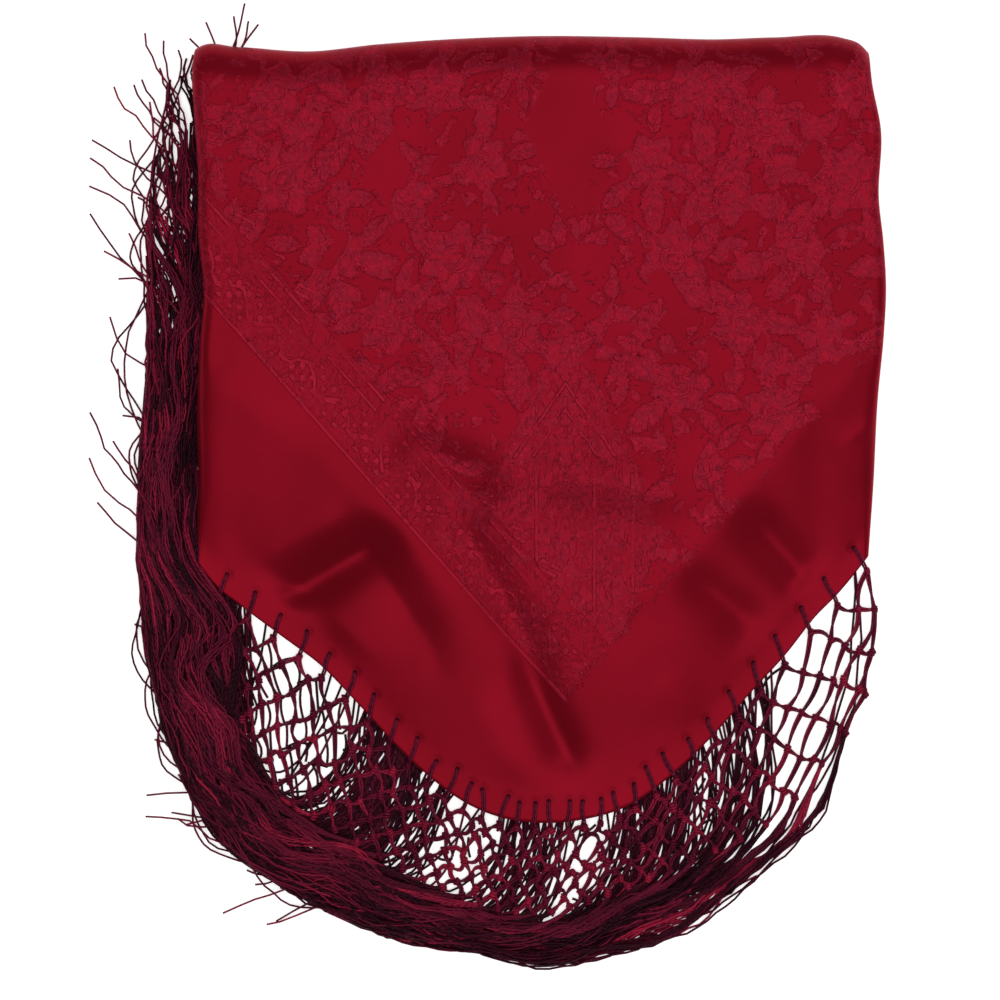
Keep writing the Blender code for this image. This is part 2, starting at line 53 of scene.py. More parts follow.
# The surface, the light and the view.
# A plain pale table top, one large soft lamp overhead and a weak one at the far right, and a pale room.
TABLE_SIZE = 3.0
TABLE_GLOW = 0.55
ROOM_LIGHT = 0.32
OVERHEAD_LAMP = ((0.02, -0.22, 1.9), 2.2, 24.5)
FAR_LAMP = ((0.75, 0.45, 0.7), 0.35, 2.2)
VIEW_WIDTH = 0.25
VIEW_HEIGHT = 1.5
VIEW_LEVEL = 0.008
SENSOR_WIDTH = 36.0


class Shade:
    """A number that varies over a material; arithmetic on it adds Math nodes."""

    def __init__(self, finish, socket):
        self.finish = finish
        self.socket = socket

    def __add__(self, other):
        return self.finish.maths("ADD", self, other)

    def __sub__(self, other):
        return self.finish.maths("SUBTRACT", self, other)

    def __rsub__(self, other):
        return self.finish.maths("SUBTRACT", other, self)

    def __mul__(self, other):
        return self.finish.maths("MULTIPLY", self, other)

    def __truediv__(self, other):
        return self.finish.maths("DIVIDE", self, other)

    def __abs__(self):
        return self.finish.maths("ABSOLUTE", self)

    __radd__ = __add__
    __rmul__ = __mul__

    def sine(self):
        return self.finish.maths("SINE", self)

    def most(self, other):
        return self.finish.maths("MAXIMUM", self, other)

    def rise(self, low, high):
        """0 below low, 1 above high, with a soft step between them."""
        sockets = {"Value": self, "From Min": low, "From Max": high}
        settings = {"interpolation_type": "SMOOTHSTEP", "clamp": True}
        return Shade(self.finish, self.finish.node("ShaderNodeMapRange", settings, sockets).outputs[0])


class Finish:
    """A material that is being made: its nodes, and its one Principled shader."""

    def __init__(self, name, roughness, metallic=0.0):
        self.material = bpy.data.materials.new(name)
        self.material.use_nodes = True
        self.tree = self.material.node_tree
        self.shader = self.tree.nodes["Principled BSDF"]
        self.shader.inputs["Roughness"].default_value = roughness
        self.shader.inputs["Metallic"].default_value = metallic

    def node(self, kind, settings, sockets):
        """A node of a kind, with its settings first and then its sockets' values or links."""
        made = self.tree.nodes.new(kind)
        for key, value in settings.items():
            setattr(made, key, value)
        for key, value in sockets.items():
            self.feed(made.inputs[key], value)
        return made

    def feed(self, socket, value):
        """Puts a value on a socket, or links what varies to it."""
        if isinstance(value, Shade):
            value = value.socket
        if isinstance(value, bpy.types.NodeSocket):
            self.tree.links.new(value, socket)
        else:
            socket.default_value = value

    def maths(self, operation, *values):
        made = self.node("ShaderNodeMath", {"operation": operation}, dict(enumerate(values)))
        return Shade(self, made.outputs[0])

    def split(self, vector):
        """The three numbers of a vector."""
        made = self.node("ShaderNodeSeparateXYZ", {}, {"Vector": vector})
        return [Shade(self, socket) for socket in made.outputs]

    def position(self):
        """The place on the piece, in metres."""
        return self.node("ShaderNodeTexCoord", {}, {}).outputs["Object"]

    def attribute(self, name):
        return self.node("ShaderNodeAttribute", {"attribute_name": name}, {}).outputs["Vector"]

    def noise(self, place, size, detail=3.0, roughness=0.55, distortion=0.0):
        """Uneven cloudiness whose patches are about one size across, in metres; 0 to 1."""
        sockets = {"Vector": place, "Scale": 1 / size, "Detail": detail, "Roughness": roughness,
                   "Distortion": distortion}
        return Shade(self, self.node("ShaderNodeTexNoise", {}, sockets).outputs[0])

    def blend(self, factor, first, second):
        """A colour between two."""
        sockets = {0: factor, 6: first, 7: second}
        return self.node("ShaderNodeMix", {"data_type": "RGBA"}, sockets).outputs[2]

    def relief(self, height, depth):
        """Raises the surface by a height from 0 to 1, times a depth in metres."""
        sockets = {"Height": height, "Distance": depth, "Strength": 1.0}
        normal = self.node("ShaderNodeBump", {}, sockets).outputs["Normal"]
        self.feed(self.shader.inputs["Normal"], normal)


def rgb(red, green, blue):
    """A colour as a screen shows it, 0 to 255, turned into the amounts of light that a shader takes."""
    shares = np.array((red, green, blue)) / 255
    light = np.where(shares <= 0.04045, shares / 12.92, ((shares + 0.055) / 1.055) ** 2.4)
    return (*(float(amount) for amount in light), 1.0)


def new_object(name, data):
    thing = bpy.data.objects.new(name, data)
    bpy.context.scene.collection.objects.link(thing)
    return thing


table = bpy.data.meshes.new("table_top")
half = TABLE_SIZE / 2
table_corners = [(-half, -half, 0), (half, -half, 0), (half, half, 0), (-half, half, 0)]
table.from_pydata(table_corners, [], [(0, 1, 2, 3)])
table_top = new_object("table_top", table)
pale = Finish("pale_table", roughness=0.9)
pale.shader.inputs["Base Color"].default_value = (0.93, 0.93, 0.93, 1)
pale.shader.inputs["Specular IOR Level"].default_value = 0.1
pale.shader.inputs["Emission Color"].default_value = (1, 1, 1, 1)
pale.shader.inputs["Emission Strength"].default_value = TABLE_GLOW
table.materials.append(pale.material)

room = bpy.data.worlds.new("pale_room")
room.use_nodes = True
room.node_tree.nodes["Background"].inputs["Color"].default_value = (1, 1, 1, 1)
room.node_tree.nodes["Background"].inputs["Strength"].default_value = ROOM_LIGHT
bpy.context.scene.world = room
bpy.context.scene.view_settings.view_transform = "Standard"


def soft_lamp(name, place, size, power):
    """A square lamp that shines at the scarf: its place and size in metres, its power in watts."""
    light = bpy.data.lights.new(name, "AREA")
    light.size = size
    light.energy = power
    lamp = new_object(name, light)
    lamp.location = place
    target = np.array(place) / np.linalg.norm(place)
    lamp.rotation_euler = (math.acos(target[2]), 0, math.atan2(target[1], target[0]) + math.pi / 2)


soft_lamp("overhead_lamp", *OVERHEAD_LAMP)
soft_lamp("far_lamp", *FAR_LAMP)

view = bpy.data.cameras.new("straight_down")
view.sensor_width = SENSOR_WIDTH
view.lens = SENSOR_WIDTH * (VIEW_HEIGHT - VIEW_LEVEL) / VIEW_WIDTH
straight_down = new_object("straight_down", view)
straight_down.rotation_euler = (0, 0, 0)
bpy.context.scene.camera = straight_down

# The front panel: the layer of satin on top of the packet, with the triangle's rounded corner and hems.
# Rayon and polyester satin woven in one crimson, rolled over the left, right and top folds and lightly
# creased; the hem lies almost flat.
SATIN_THICKNESS = 0.35 * MM
PACKET_HEIGHT = 13.5 * MM
HEM_HEIGHT = 3.6 * MM
HEM_SLOPE_LENGTH = 42 * MM
HEM_SLANT = 0.72
SLOPE_BEND = 0.16
SIDE_ROLL = 3.2 * MM
TOP_ROLL_REACH = 10 * MM
TOP_ROLL_DROP = 9.5 * MM
ROLL_STEPS = 8
PANEL_COLUMNS = 150
PANEL_ROWS = 172
SKIRT_STEPS = 5
UNDER_TURN = math.radians(62)
# The left fold of the packet, down the side: y_mm, x_mm
LEFT_FOLD = (
    (115.0, -76.2), (108.0, -76.8), (94.0, -76.2), (83.5, -75.5), (64.0, -75.2), (52.5, -74.0),
    (39.0, -75.0), (25.0, -75.7), (-1.0, -75.8), (-14.0, -76.7),
)
# The right fold: y_mm, x_mm
RIGHT_FOLD = (
    (115.0, 92.2), (105.0, 92.8), (92.5, 95.1), (75.0, 94.6), (65.0, 95.7), (52.5, 96.4),
    (42.0, 95.9), (25.0, 94.5), (5.0, 93.7), (-14.0, 92.5),
)
# The top fold: x_mm, y_mm
TOP_FOLD = (
    (-77.0, 112.6), (-75.0, 113.8), (-66.0, 113.6), (-47.5, 112.5), (-31.0, 114.2), (-11.0, 115.6),
    (7.5, 116.3), (35.0, 116.0), (54.0, 115.5), (69.0, 116.0), (86.0, 115.8), (90.0, 114.4), (93.0, 111.4),
)
# The hem, from the left fold round the corner of the triangle to the right fold: x_mm, y_mm
HEM_LINE = (
    (-77.0, -14.0), (-71.5, -21.2), (-65.0, -26.5), (-54.0, -34.7), (-44.7, -41.7), (-36.0, -50.7),
    (-25.2, -62.4), (-18.2, -69.0), (-8.2, -76.2), (0.5, -79.7), (10.0, -81.0), (20.5, -80.2),
    (34.0, -75.7), (41.0, -70.7), (53.0, -59.5), (62.7, -48.5), (72.5, -37.7), (78.7, -29.7),
    (85.2, -23.0), (92.5, -14.0),
)
# Soft troughs (negative) and ridges: from x, y to x, y, depth and half width, all mm
CREASES = (
    (-60.0, -29.0, -27.0, -8.5, -4.4, 6.2),
    (-36.0, -6.0, -18.0, -36.0, -2.2, 7.0),
    (-62.0, -15.0, -38.0, -4.0, 0.7, 6.0),
    (5.0, -38.0, 20.0, -71.0, -3.4, 5.2),
    (-6.0, -48.0, 6.0, -72.0, 0.7, 6.0),
    (61.0, -2.0, 80.0, -24.0, -2.8, 5.6),
    (47.0, -18.0, 66.0, -34.0, -2.0, 5.6),
    (-26.0, 15.0, 2.0, 3.0, -3.6, 7.4),
    (-19.0, -31.0, -14.0, -46.0, -0.6, 5.0),
    (-18.0, 6.0, 12.0, -44.0, -3.4, 6.4),
    (4.0, 8.0, 50.0, 1.0, -2.8, 8.0),
    (83.0, 111.0, 92.0, 88.0, -0.8, 2.2),
    (79.0, 108.0, 88.0, 92.0, 0.5, 2.0),
    (86.0, 96.0, 94.0, 84.0, -0.5, 1.6),
    (88.0, 78.0, 95.0, 66.0, -0.4, 2.2),
    (84.0, 40.0, 95.0, 34.0, -0.4, 2.6),
    (86.0, 14.0, 94.0, 20.0, 0.4, 2.6),
    (-76.0, 84.0, -68.0, 74.0, -0.5, 2.6),
    (-75.0, 30.0, -66.0, 38.0, -0.4, 3.0),
    (-40.0, 113.0, -34.0, 101.0, -0.4, 3.0),
    (30.0, 115.0, 26.0, 102.0, 0.3, 4.0),
    (20.0, -20.0, 44.0, -34.0, -0.35, 4.0),
    (-52.0, -20.0, -30.0, -40.0, 0.5, 5.0),
    (40.0, -44.0, 52.0, -56.0, 0.4, 4.5),
)


def curve_through(rows, at, column=1):
    """A smooth curve through a table's rows, from its first column to another one."""
    rows = sorted(rows)
    xs = np.array([row[0] for row in rows])
    ys = np.array([row[column] for row in rows])
    slopes = np.gradient(ys, xs)
    at = np.clip(at, xs[0], xs[-1])
    i = np.clip(np.searchsorted(xs, at) - 1, 0, len(xs) - 2)
    width = xs[i + 1] - xs[i]
    t = (at - xs[i]) / width
    return (
        ys[i] * (2 * t**3 - 3 * t**2 + 1)
        + slopes[i] * width * (t**3 - 2 * t**2 + t)
        + ys[i + 1] * (3 * t**2 - 2 * t**3)
        + slopes[i + 1] * width * (t**3 - t**2)
    )


def line_at(rows, metres):
    """The same, with both columns in metres."""
    return curve_through(rows, metres / MM) * MM


def smooth(share):
    """An even rise from 0 to 1, level at both ends."""
    share = np.clip(share, 0.0, 1.0)
    return share * share * (3 - 2 * share)


def even_slope(share):
    """A rise from 0 to 1 at one slope, softened at both ends."""
    share = np.clip(share, 0.0, 1.0)
    start = share**2 / (2 * SLOPE_BEND)
    end = 1 - SLOPE_BEND - (1 - share) ** 2 / (2 * SLOPE_BEND)
    rise = np.where(share < SLOPE_BEND, start, np.where(share > 1 - SLOPE_BEND, end, share - SLOPE_BEND / 2))
    return rise / (1 - SLOPE_BEND)


def cloth_top(x, y):
    """The height of the satin's outer face above the table."""
    rise = even_slope((y - line_at(HEM_LINE, x)) * HEM_SLANT / HEM_SLOPE_LENGTH)
    crease = 0.0
    for x1, y1, x2, y2, depth, half_width in np.array(CREASES) * MM:
        length = math.hypot(x2 - x1, y2 - y1)
        along = ((x - x1) * (x2 - x1) + (y - y1) * (y2 - y1)) / length**2
        across = ((x - x1) * (y2 - y1) - (y - y1) * (x2 - x1)) / length
        fade = np.exp(-((2.2 * (along - 0.5)) ** 4))
        crease = crease + depth * fade * np.exp(-(np.abs(across / half_width) ** 1.6))
    slack = 0.11 * MM * np.sin(x / (9.3 * MM) + 2.1 * np.sin(y / (21 * MM)))
    slack = slack + 0.08 * MM * np.sin(y / (7.1 * MM) + 1.7 * np.sin(x / (13 * MM)))
    return HEM_HEIGHT + (PACKET_HEIGHT - HEM_HEIGHT) * rise + (crease + slack) * smooth(rise * 4)


def satin_grid(depth, columns, rows, hem_inset=0.0):
    """Points of the packet's skin, depth below its outer face: rows from the top fold to the hem."""
    turns = np.linspace(90, 90 / ROLL_STEPS, ROLL_STEPS)
    side = np.concatenate([-np.ones(ROLL_STEPS), np.zeros(columns), np.ones(ROLL_STEPS)])[None, :]
    side_turn = np.radians(np.concatenate([turns, np.zeros(columns), turns[::-1]]))[None, :]
    share_x = np.concatenate([np.zeros(ROLL_STEPS), np.linspace(0, 1, columns), np.ones(ROLL_STEPS)])[None, :]
    top_turn = np.radians(np.concatenate([turns, np.zeros(rows)]))[:, None]
    share_y = np.concatenate([np.zeros(ROLL_STEPS), np.linspace(0, 1, rows)])[:, None]
    x = np.zeros((len(share_y), share_x.shape[1]))
    y = np.zeros_like(x)
    for _ in range(5):
        left = line_at(LEFT_FOLD, y) + depth
        right = line_at(RIGHT_FOLD, y) - depth
        lowest = np.minimum(cloth_top((left + right) / 2, y), cloth_top(x, y))
        roll = np.maximum(0.15 * MM, np.minimum(SIDE_ROLL, 0.42 * lowest) - depth)
        inward = roll * (1 - np.sin(side_turn))
        flat = left + roll + (right - left - 2 * roll) * share_x
        x = np.where(side < 0, left + inward, np.where(side > 0, right - inward, flat))
        top = line_at(TOP_FOLD, x) - depth
        reach = TOP_ROLL_REACH - depth
        hem = line_at(HEM_LINE, x) + hem_inset * (share_y == 1)
        down = np.where(top_turn > 0, reach * (1 - np.sin(top_turn)), reach)
        y = top - down - (top - reach - hem) * share_y
    drop = np.hypot(roll * (1 - np.cos(side_turn)), (TOP_ROLL_DROP - depth) * (1 - np.cos(top_turn)))
    return np.stack([x, y, cloth_top(x, y) - depth - drop], axis=-1)


def fold_edge(grid):
    """The grid's edge along the folds: up the left one, over the top, and down the right one."""
    return np.concatenate([grid[::-1, 0], grid[0, 1:-1], grid[:, -1]])


def on_top_fold(points):
    """1 on the top fold, 0 well down the sides."""
    return smooth((points[:, 1] - 98 * MM) / (10 * MM))


def moved_in(points, inset, height):
    """Points moved towards the packet's middle and set at a height."""
    reach = np.linalg.norm(points[:, :2], axis=1)
    share = (reach - inset) / reach
    return np.stack([points[:, 0] * share, points[:, 1] * share, height], axis=-1)


def skirt(edge, share):
    """The panel's edge carried on round the folds: tucked under at the sides, and to the table at the top."""
    on_top = on_top_fold(edge)
    roll = np.minimum(SIDE_ROLL, 0.42 * (edge[:, 2] + SIDE_ROLL))
    turn = UNDER_TURN * share
    drop = roll * math.sin(turn) * (1 - on_top) + (edge[:, 2] - 0.6 * MM) * share * on_top
    inset = roll * (1 - math.cos(turn)) * (1 - on_top) + 0.9 * MM * share**2 * on_top
    return moved_in(edge, inset, np.maximum(0.9 * MM, edge[:, 2] - drop))


def skin_mesh(grid):
    """A mesh through the grid's points, the rows of its vertices, and the vertices along its folds."""
    mesh = bmesh.new()
    vertices = [[mesh.verts.new(point) for point in row] for row in grid]
    for upper, lower in zip(vertices, vertices[1:]):
        for i in range(len(upper) - 1):
            mesh.faces.new((upper[i], lower[i], lower[i + 1], upper[i + 1]))
    edge = [row[0] for row in reversed(vertices)] + vertices[0][1:-1] + [row[-1] for row in vertices]
    return mesh, vertices, edge


# The panel in the packet's own axes, then moved to where the CAD node is.
grid = satin_grid(0.0, PANEL_COLUMNS, PANEL_ROWS)
panel_mesh, vertices, edge = skin_mesh(grid)
edge_points = fold_edge(grid)
for step in range(1, SKIRT_STEPS + 1):
    lower = [panel_mesh.verts.new(point) for point in skirt(edge_points, step / SKIRT_STEPS)]
    for i in range(len(edge) - 1):
        panel_mesh.faces.new((edge[i], lower[i], lower[i + 1], edge[i + 1]))
    edge = lower
bmesh.ops.recalc_face_normals(panel_mesh, faces=panel_mesh.faces)
if sum(face.normal.z for face in panel_mesh.faces) < 0:
    bmesh.ops.reverse_faces(panel_mesh, faces=panel_mesh.faces)
panel_data = bpy.data.meshes.new("satin_front")
panel_mesh.to_mesh(panel_data)
panel_mesh.free()

cad_low, cad_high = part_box("front_panel")
own = np.array([vertex.co[:] for vertex in panel_data.vertices])
SHIFT = np.array([cad_high[k] - own[:, k].max() for k in range(2)] + [0.0])
panel_data.vertices.foreach_set("co", (own + SHIFT).ravel())
straight_down.location = (SHIFT[0], SHIFT[1], VIEW_HEIGHT)

# The woven figure: an ordinary floral that is the same on both sides of the cloth's middle line.
# Flowers by the x from that line, the y and the size, all mm; the figure ends in a point near the hem.
FIGURE_MIDDLE = 16.3 * MM
CORNER_OF_FIGURE = -51.0 * MM
FIGURE_SLANT = math.radians(41.5)
FLOWER_PLACES = (
    (34.0, 8.0, 7.5), (52.0, 22.0, 8.5), (29.0, 28.0, 8.0), (66.0, 40.0, 9.5), (44.0, 44.0, 9.0),
    (13.0, 42.0, 9.0), (27.0, 60.0, 10.0), (58.0, 62.0, 9.0), (40.0, 76.0, 8.5), (70.0, 80.0, 10.5),
    (21.0, 84.0, 8.0), (50.0, 94.0, 9.5), (32.0, 102.0, 8.5), (72.0, 102.0, 8.0), (88.0, 60.0, 8.5),
    (88.0, 92.0, 9.0), (80.0, 22.0, 7.0), (0.0, 58.0, 6.5), (12.0, 108.0, 5.0),
)


def place_flowers():
    """The flowers on both sides of the middle line: rows of x, y, size and turn."""
    rows = []
    for number, (x, y, size) in enumerate(FLOWER_PLACES):
        for side in (-1, 1) if x else (1,):
            rows.append((FIGURE_MIDDLE + side * x * MM, y * MM, size * MM, side * (0.9 * number)))
    return np.array(rows)


def leaves_round(flowers):
    """Leaves that stand out around each flower."""
    rows = []
    for number, (x, y, size, turn) in enumerate(flowers):
        for k in range(5):
            angle = turn + k * 1.2566 + 0.5 * math.sin(3.1 * number + k)
            length = size * (0.72 + 0.16 * math.sin(2.3 * number + 1.7 * k))
            rows.append((x + math.cos(angle) * size * 1.4, y + math.sin(angle) * size * 1.4, length, angle))
    return np.array(rows)


def nearest_motif(data, name, motifs):
    """Stores on each face's corners the place within the motif nearest to it, in the motif's size."""
    loops = np.zeros(len(data.loops), dtype=int)
    data.loops.foreach_get("vertex_index", loops)
    points = np.array([vertex.co[:] for vertex in data.vertices])[:, :2] - SHIFT[:2]
    sizes = np.array([len(polygon.vertices) for polygon in data.polygons])
    centres = np.array([polygon.center[:2] for polygon in data.polygons]) - SHIFT[:2]
    nearest = np.zeros(len(centres), dtype=int)
    best = np.full(len(centres), np.inf)
    for i, (x, y, size, _) in enumerate(motifs):
        distance = np.hypot(centres[:, 0] - x, centres[:, 1] - y) / size
        closer = distance < best
        nearest[closer] = i
        best[closer] = distance[closer]
    chosen = motifs[np.repeat(nearest, sizes)]
    across = points[loops] - chosen[:, :2]
    cos = np.cos(chosen[:, 3])
    sin = np.sin(chosen[:, 3])
    p = (across[:, 0] * cos + across[:, 1] * sin) / chosen[:, 2]
    q = (-across[:, 0] * sin + across[:, 1] * cos) / chosen[:, 2]
    number = np.repeat(nearest, sizes) % 7
    attribute = data.attributes.new(name, "FLOAT_VECTOR", "CORNER")
    attribute.data.foreach_set("vector", np.stack([p, q, number], axis=-1).ravel())


# Where the loops of yarn go down through the satin, inside the hem.
LOOP_COUNT = 32
LOOP_MIDDLE_X = 10.5 * MM
LOOP_HALF_SPREAD = 80.5 * MM
LOOP_END_STRETCH = 0.2
LOOP_REACH = 5.8 * MM
HOLE_SIZE = 0.6 * MM


def loop_x(number):
    """Where a loop of yarn meets the hem, counted from the left: they stand further apart at the ends."""
    t = 2 * number / (LOOP_COUNT - 1) - 1
    return LOOP_MIDDLE_X + LOOP_HALF_SPREAD * ((1 - LOOP_END_STRETCH) * t + LOOP_END_STRETCH * t**3)


def hem_outward(x):
    """The direction in which the loop at x crosses the hem, between square to it and straight down."""
    slope = (line_at(HEM_LINE, x + MM) - line_at(HEM_LINE, x - MM)) / (2 * MM)
    blend = np.array((slope, -1.0)) / math.hypot(slope, 1.0) + np.array((0.0, -1.0))
    return blend / np.linalg.norm(blend)


chance = np.random.default_rng(29)
loop_ends = []
for i in range(LOOP_COUNT):
    on_hem = np.array((loop_x(i), line_at(HEM_LINE, loop_x(i))))
    reach = LOOP_REACH * chance.uniform(0.72, 1.05)
    lean = np.array((chance.normal(0, 0.6 * MM), 0.0))
    loop_ends.append(on_hem - hem_outward(loop_x(i)) * reach + lean)
holes = np.array([(x, y, HOLE_SIZE, 0.0) for x, y in loop_ends])

flowers = place_flowers()
nearest_motif(panel_data, "flower", flowers)
nearest_motif(panel_data, "leaf", leaves_round(flowers))
nearest_motif(panel_data, "hole", holes)

# The satin: a deep crimson ground, and a figure of nearly the same depth that is duller and greyer.
GROUND = rgb(125, 11, 28)
GROUND_SHADE = rgb(117, 10, 25)
FIGURE_DULL = rgb(124, 21, 39)
FIGURE_BRIGHT = rgb(138, 18, 36)
FIGURE_DARK = rgb(86, 9, 23)
FIGURE_LIGHT = rgb(156, 28, 50)
# The near-black of the painted shadow in the holes where the loops go down through the satin.
HOLE_PAINTED_SHADOW = (0.012, 0.001, 0.003, 1)
satin = Finish("crimson_satin", roughness=0.36, metallic=0.5)
satin.shader.inputs["Specular IOR Level"].default_value = 0.05
satin.shader.inputs["Specular Tint"].default_value = (1.0, 0.35, 0.45, 1)
satin.shader.inputs["Sheen Weight"].default_value = 0.03
satin.shader.inputs["Sheen Roughness"].default_value = 0.4
satin.shader.inputs["Sheen Tint"].default_value = (1.0, 0.3, 0.42, 1)
place = satin.position()
x, y, z = satin.split(place)
x = (x - float(SHIFT[0]) - FIGURE_MIDDLE) / MM
y = (y - float(SHIFT[1]) - CORNER_OF_FIGURE) / MM
wobble = satin.noise(place, 3.1 * MM, detail=3.0, roughness=0.65) - 0.5
ragged = satin.noise(place, 0.8 * MM, detail=2.0, roughness=0.7) - 0.5
from_left = x * math.cos(FIGURE_SLANT) + y * math.sin(FIGURE_SLANT)
from_right = y * math.sin(FIGURE_SLANT) - x * math.cos(FIGURE_SLANT)

# Flowers of six petals with lines between them, ragged where the weave steps.
p, q, number = satin.split(satin.attribute("flower"))
p = p + wobble * 0.34
q = q + wobble * -0.3
radius = satin.maths("SQRT", p * p + q * q)
angle = satin.maths("ARCTAN2", q, p)
petals = (angle * 6 + number).sine()
petal_reach = 0.86 + petals * 0.13 + ragged * 0.36 - radius
flower = petal_reach.rise(-0.01, 0.03)
gaps = 1 - abs((angle * 3 + number * 0.5).sine()).rise(0.03, 0.15)
gaps = gaps * (1 - radius.rise(0.66, 0.74)) * radius.rise(0.3, 0.36)
rings = (1 - abs(radius - 0.32).rise(0.02, 0.05)).most(1 - abs(radius - 0.14).rise(0.01, 0.04))

# Leaves with veins.
s, t, _ = satin.split(satin.attribute("leaf"))
s = s + wobble * 0.3
t = t + wobble * 0.3
leaf_reach = 0.46 - 0.42 * s * s + ragged * 0.38 - abs(t)
leaf = leaf_reach.rise(-0.02, 0.03)
veins = (1 - abs(t).rise(0.02, 0.06)).most(1 - ((s - abs(t) * 0.9) * 15).sine().rise(-0.95, -0.6))

# Small broken sprays that fill most of the ground between them.
sprays = satin.noise(place, 6.5 * MM, detail=4.0, roughness=0.62, distortion=0.9)
spray_reach = sprays + ragged * 0.2 - 0.515
filling = spray_reach.rise(0, 0.02) * (1 - petal_reach.rise(-0.26, -0.2))
filling = filling * (1 - leaf_reach.rise(-0.16, -0.12))
field = flower.most(leaf).most(filling)
rims = (1 - abs(petal_reach).rise(0.02, 0.12)).most(1 - abs(leaf_reach).rise(0.02, 0.1))
rims = rims.most((1 - abs(spray_reach).rise(0.008, 0.03)) * filling)
drawing = (gaps.most(rings) * flower).most(veins * leaf * 0.8)

# The plaited border on the left of the point: an outline, a scroll between rows of beads, double bars.
# Its places are in mm from the left edge of the figure.
BORDER_MIDDLE = 6.6
BORDER_WIDTH = 17.4
HATCH_WIDTH = 21.5
scroll_wave = (from_right * 0.5 + wobble * 2).sine() * 2.0
scroll = 1 - abs(from_left - BORDER_MIDDLE - scroll_wave).rise(0.5, 0.8)
beads = ((from_right * 1.6 + wobble * 2).sine() * (from_left * 1.6 + ragged).sine() + ragged).rise(0.2, 0.35)
beads = beads * (1 - abs(from_left - BORDER_MIDDLE).rise(3.8, 4.4))
bars = (1 - abs(from_left - 13.2).rise(0.3, 0.5)).most(1 - abs(from_left - 16.4).rise(0.35, 0.6))
bars = bars * (from_right - 16).rise(0, 1) * (from_right * 0.22).sine().rise(-0.5, -0.35)
hatch = (from_left * 3.0 + from_right * 1.1).sine().rise(-0.1, 0.3)
hatch = hatch * (from_left - 17.6).rise(0, 0.2) * (1 - (from_left - HATCH_WIDTH).rise(0, 0.2))
hatch = hatch * (from_right - 22).rise(0, 1) * (from_right * 0.55).sine().rise(-0.2, 0.1)
in_border = (from_left - 1.2).rise(0, 0.2) * (1 - (from_left - BORDER_WIDTH).rise(0, 0.2))
outline = 1 - abs(from_left - 0.45).rise(0.3, 0.55)

# The fret in the middle: nested diamonds between upright bars, above a hatched tip.
worn = satin.noise(place, 5 * MM, detail=3.0, roughness=0.65).rise(0.40, 0.58)
across = abs(x + wobble * 0.5)
up = y + wobble * 1.4
diamond = across * 0.9 + abs(up - 60) * 0.62
nested = (1 - abs(diamond - 12.4).rise(0.3, 0.6)).most(1 - abs(diamond - 8.4).rise(0.25, 0.5))
nested = nested * (up - 61).rise(0, 1)
sockets = {"X": across * 0.42, "Y": up * 0.2, "Z": 7.0}
stretched = satin.node("ShaderNodeCombineXYZ", {}, sockets).outputs[0]
meander = satin.noise(stretched, 1.0, detail=2.0, roughness=0.6, distortion=0.6) + ragged * 0.05
meander = 1 - abs(meander - 0.5).rise(0.006, 0.022)
uprights = (1 - abs(across - 16.8).rise(0.3, 0.6)).most(1 - abs(across - 7.2).rise(0.3, 0.6))
uprights = uprights * (1 - abs(y - 40).rise(17, 19))
dashes = (y * 3.4).sine().rise(0.0, 0.3) * (1 - abs(across - 1.2).rise(0.35, 0.6))
dashes = dashes * (1 - abs(y - 14).rise(9, 9.4))
fret = nested.most(uprights * 0.8).most(dashes).most(meander * 0.7)
in_fret = 1 - (across + abs(up - 42) * 0.45 + ragged * 5 + wobble * 6).rise(24, 26)
in_fret = in_fret * (from_left - 18).rise(0, 0.3)

lines = (scroll.most(beads).most(bars).most(meander * 0.6) * in_border).most(hatch).most(fret * in_fret)
lines = lines.most(drawing * (1 - in_border) * (1 - in_fret * 0.7) * 0.6)
lines = lines * (0.2 + worn * 0.8)
field = field * (1 - in_border) + in_border * (0.35 + filling * 0.5)
field = field.most(in_fret * (0.4 + worn * 0.5))
plain_middle = (across * 1.35 + abs(y - 144) * 0.62).rise(13, 15)
patches = satin.noise(place, 14 * MM, detail=2.0, distortion=0.8)
plain_patches = 1 - (patches + ragged * 0.08).rise(0.585, 0.605)
zone = (from_left - 0.15).rise(0.0, 0.25) * (from_right + ragged * 4 + wobble * 7).rise(0.3, 0.8)
shown = plain_middle * plain_patches.most(in_border).most(in_fret) * zone
field = field * shown
lines = lines * shown
rims = rims * field * (1 - in_border) * (1 - in_fret)

# Hair-fine broken strokes where the long threads of the weave catch the light and shade.
upright = satin.node("ShaderNodeCombineXYZ", {}, {"X": x * 2.4, "Y": y * 0.62, "Z": 0.0}).outputs[0]
sockets = {"X": (x + y) * 1.5, "Y": (y - x) * 0.5, "Z": 3.0}
slanted = satin.node("ShaderNodeCombineXYZ", {}, sockets).outputs[0]
hairs = satin.noise(upright, 1.0, detail=1.0, roughness=0.6, distortion=0.8)
slant_hairs = satin.noise(slanted, 1.0, detail=1.0, roughness=0.6, distortion=0.8)
which = satin.noise(place, 5 * MM, detail=1.0).rise(0.47, 0.53)
hairs = hairs * which + slant_hairs * (1 - which)
tufts = field * (0.5 + 0.5 * rims.most(lines * 0.6))
dark_hairs = (1 - hairs.rise(0.32, 0.45)) * tufts
light_hairs = hairs.rise(0.56, 0.70) * tufts
specks = satin.noise(place, 0.9 * MM, detail=1.0).rise(0.64, 0.70) * field
dull = satin.noise(place, 2.6 * MM, detail=3.0, roughness=0.7).rise(0.42, 0.58)

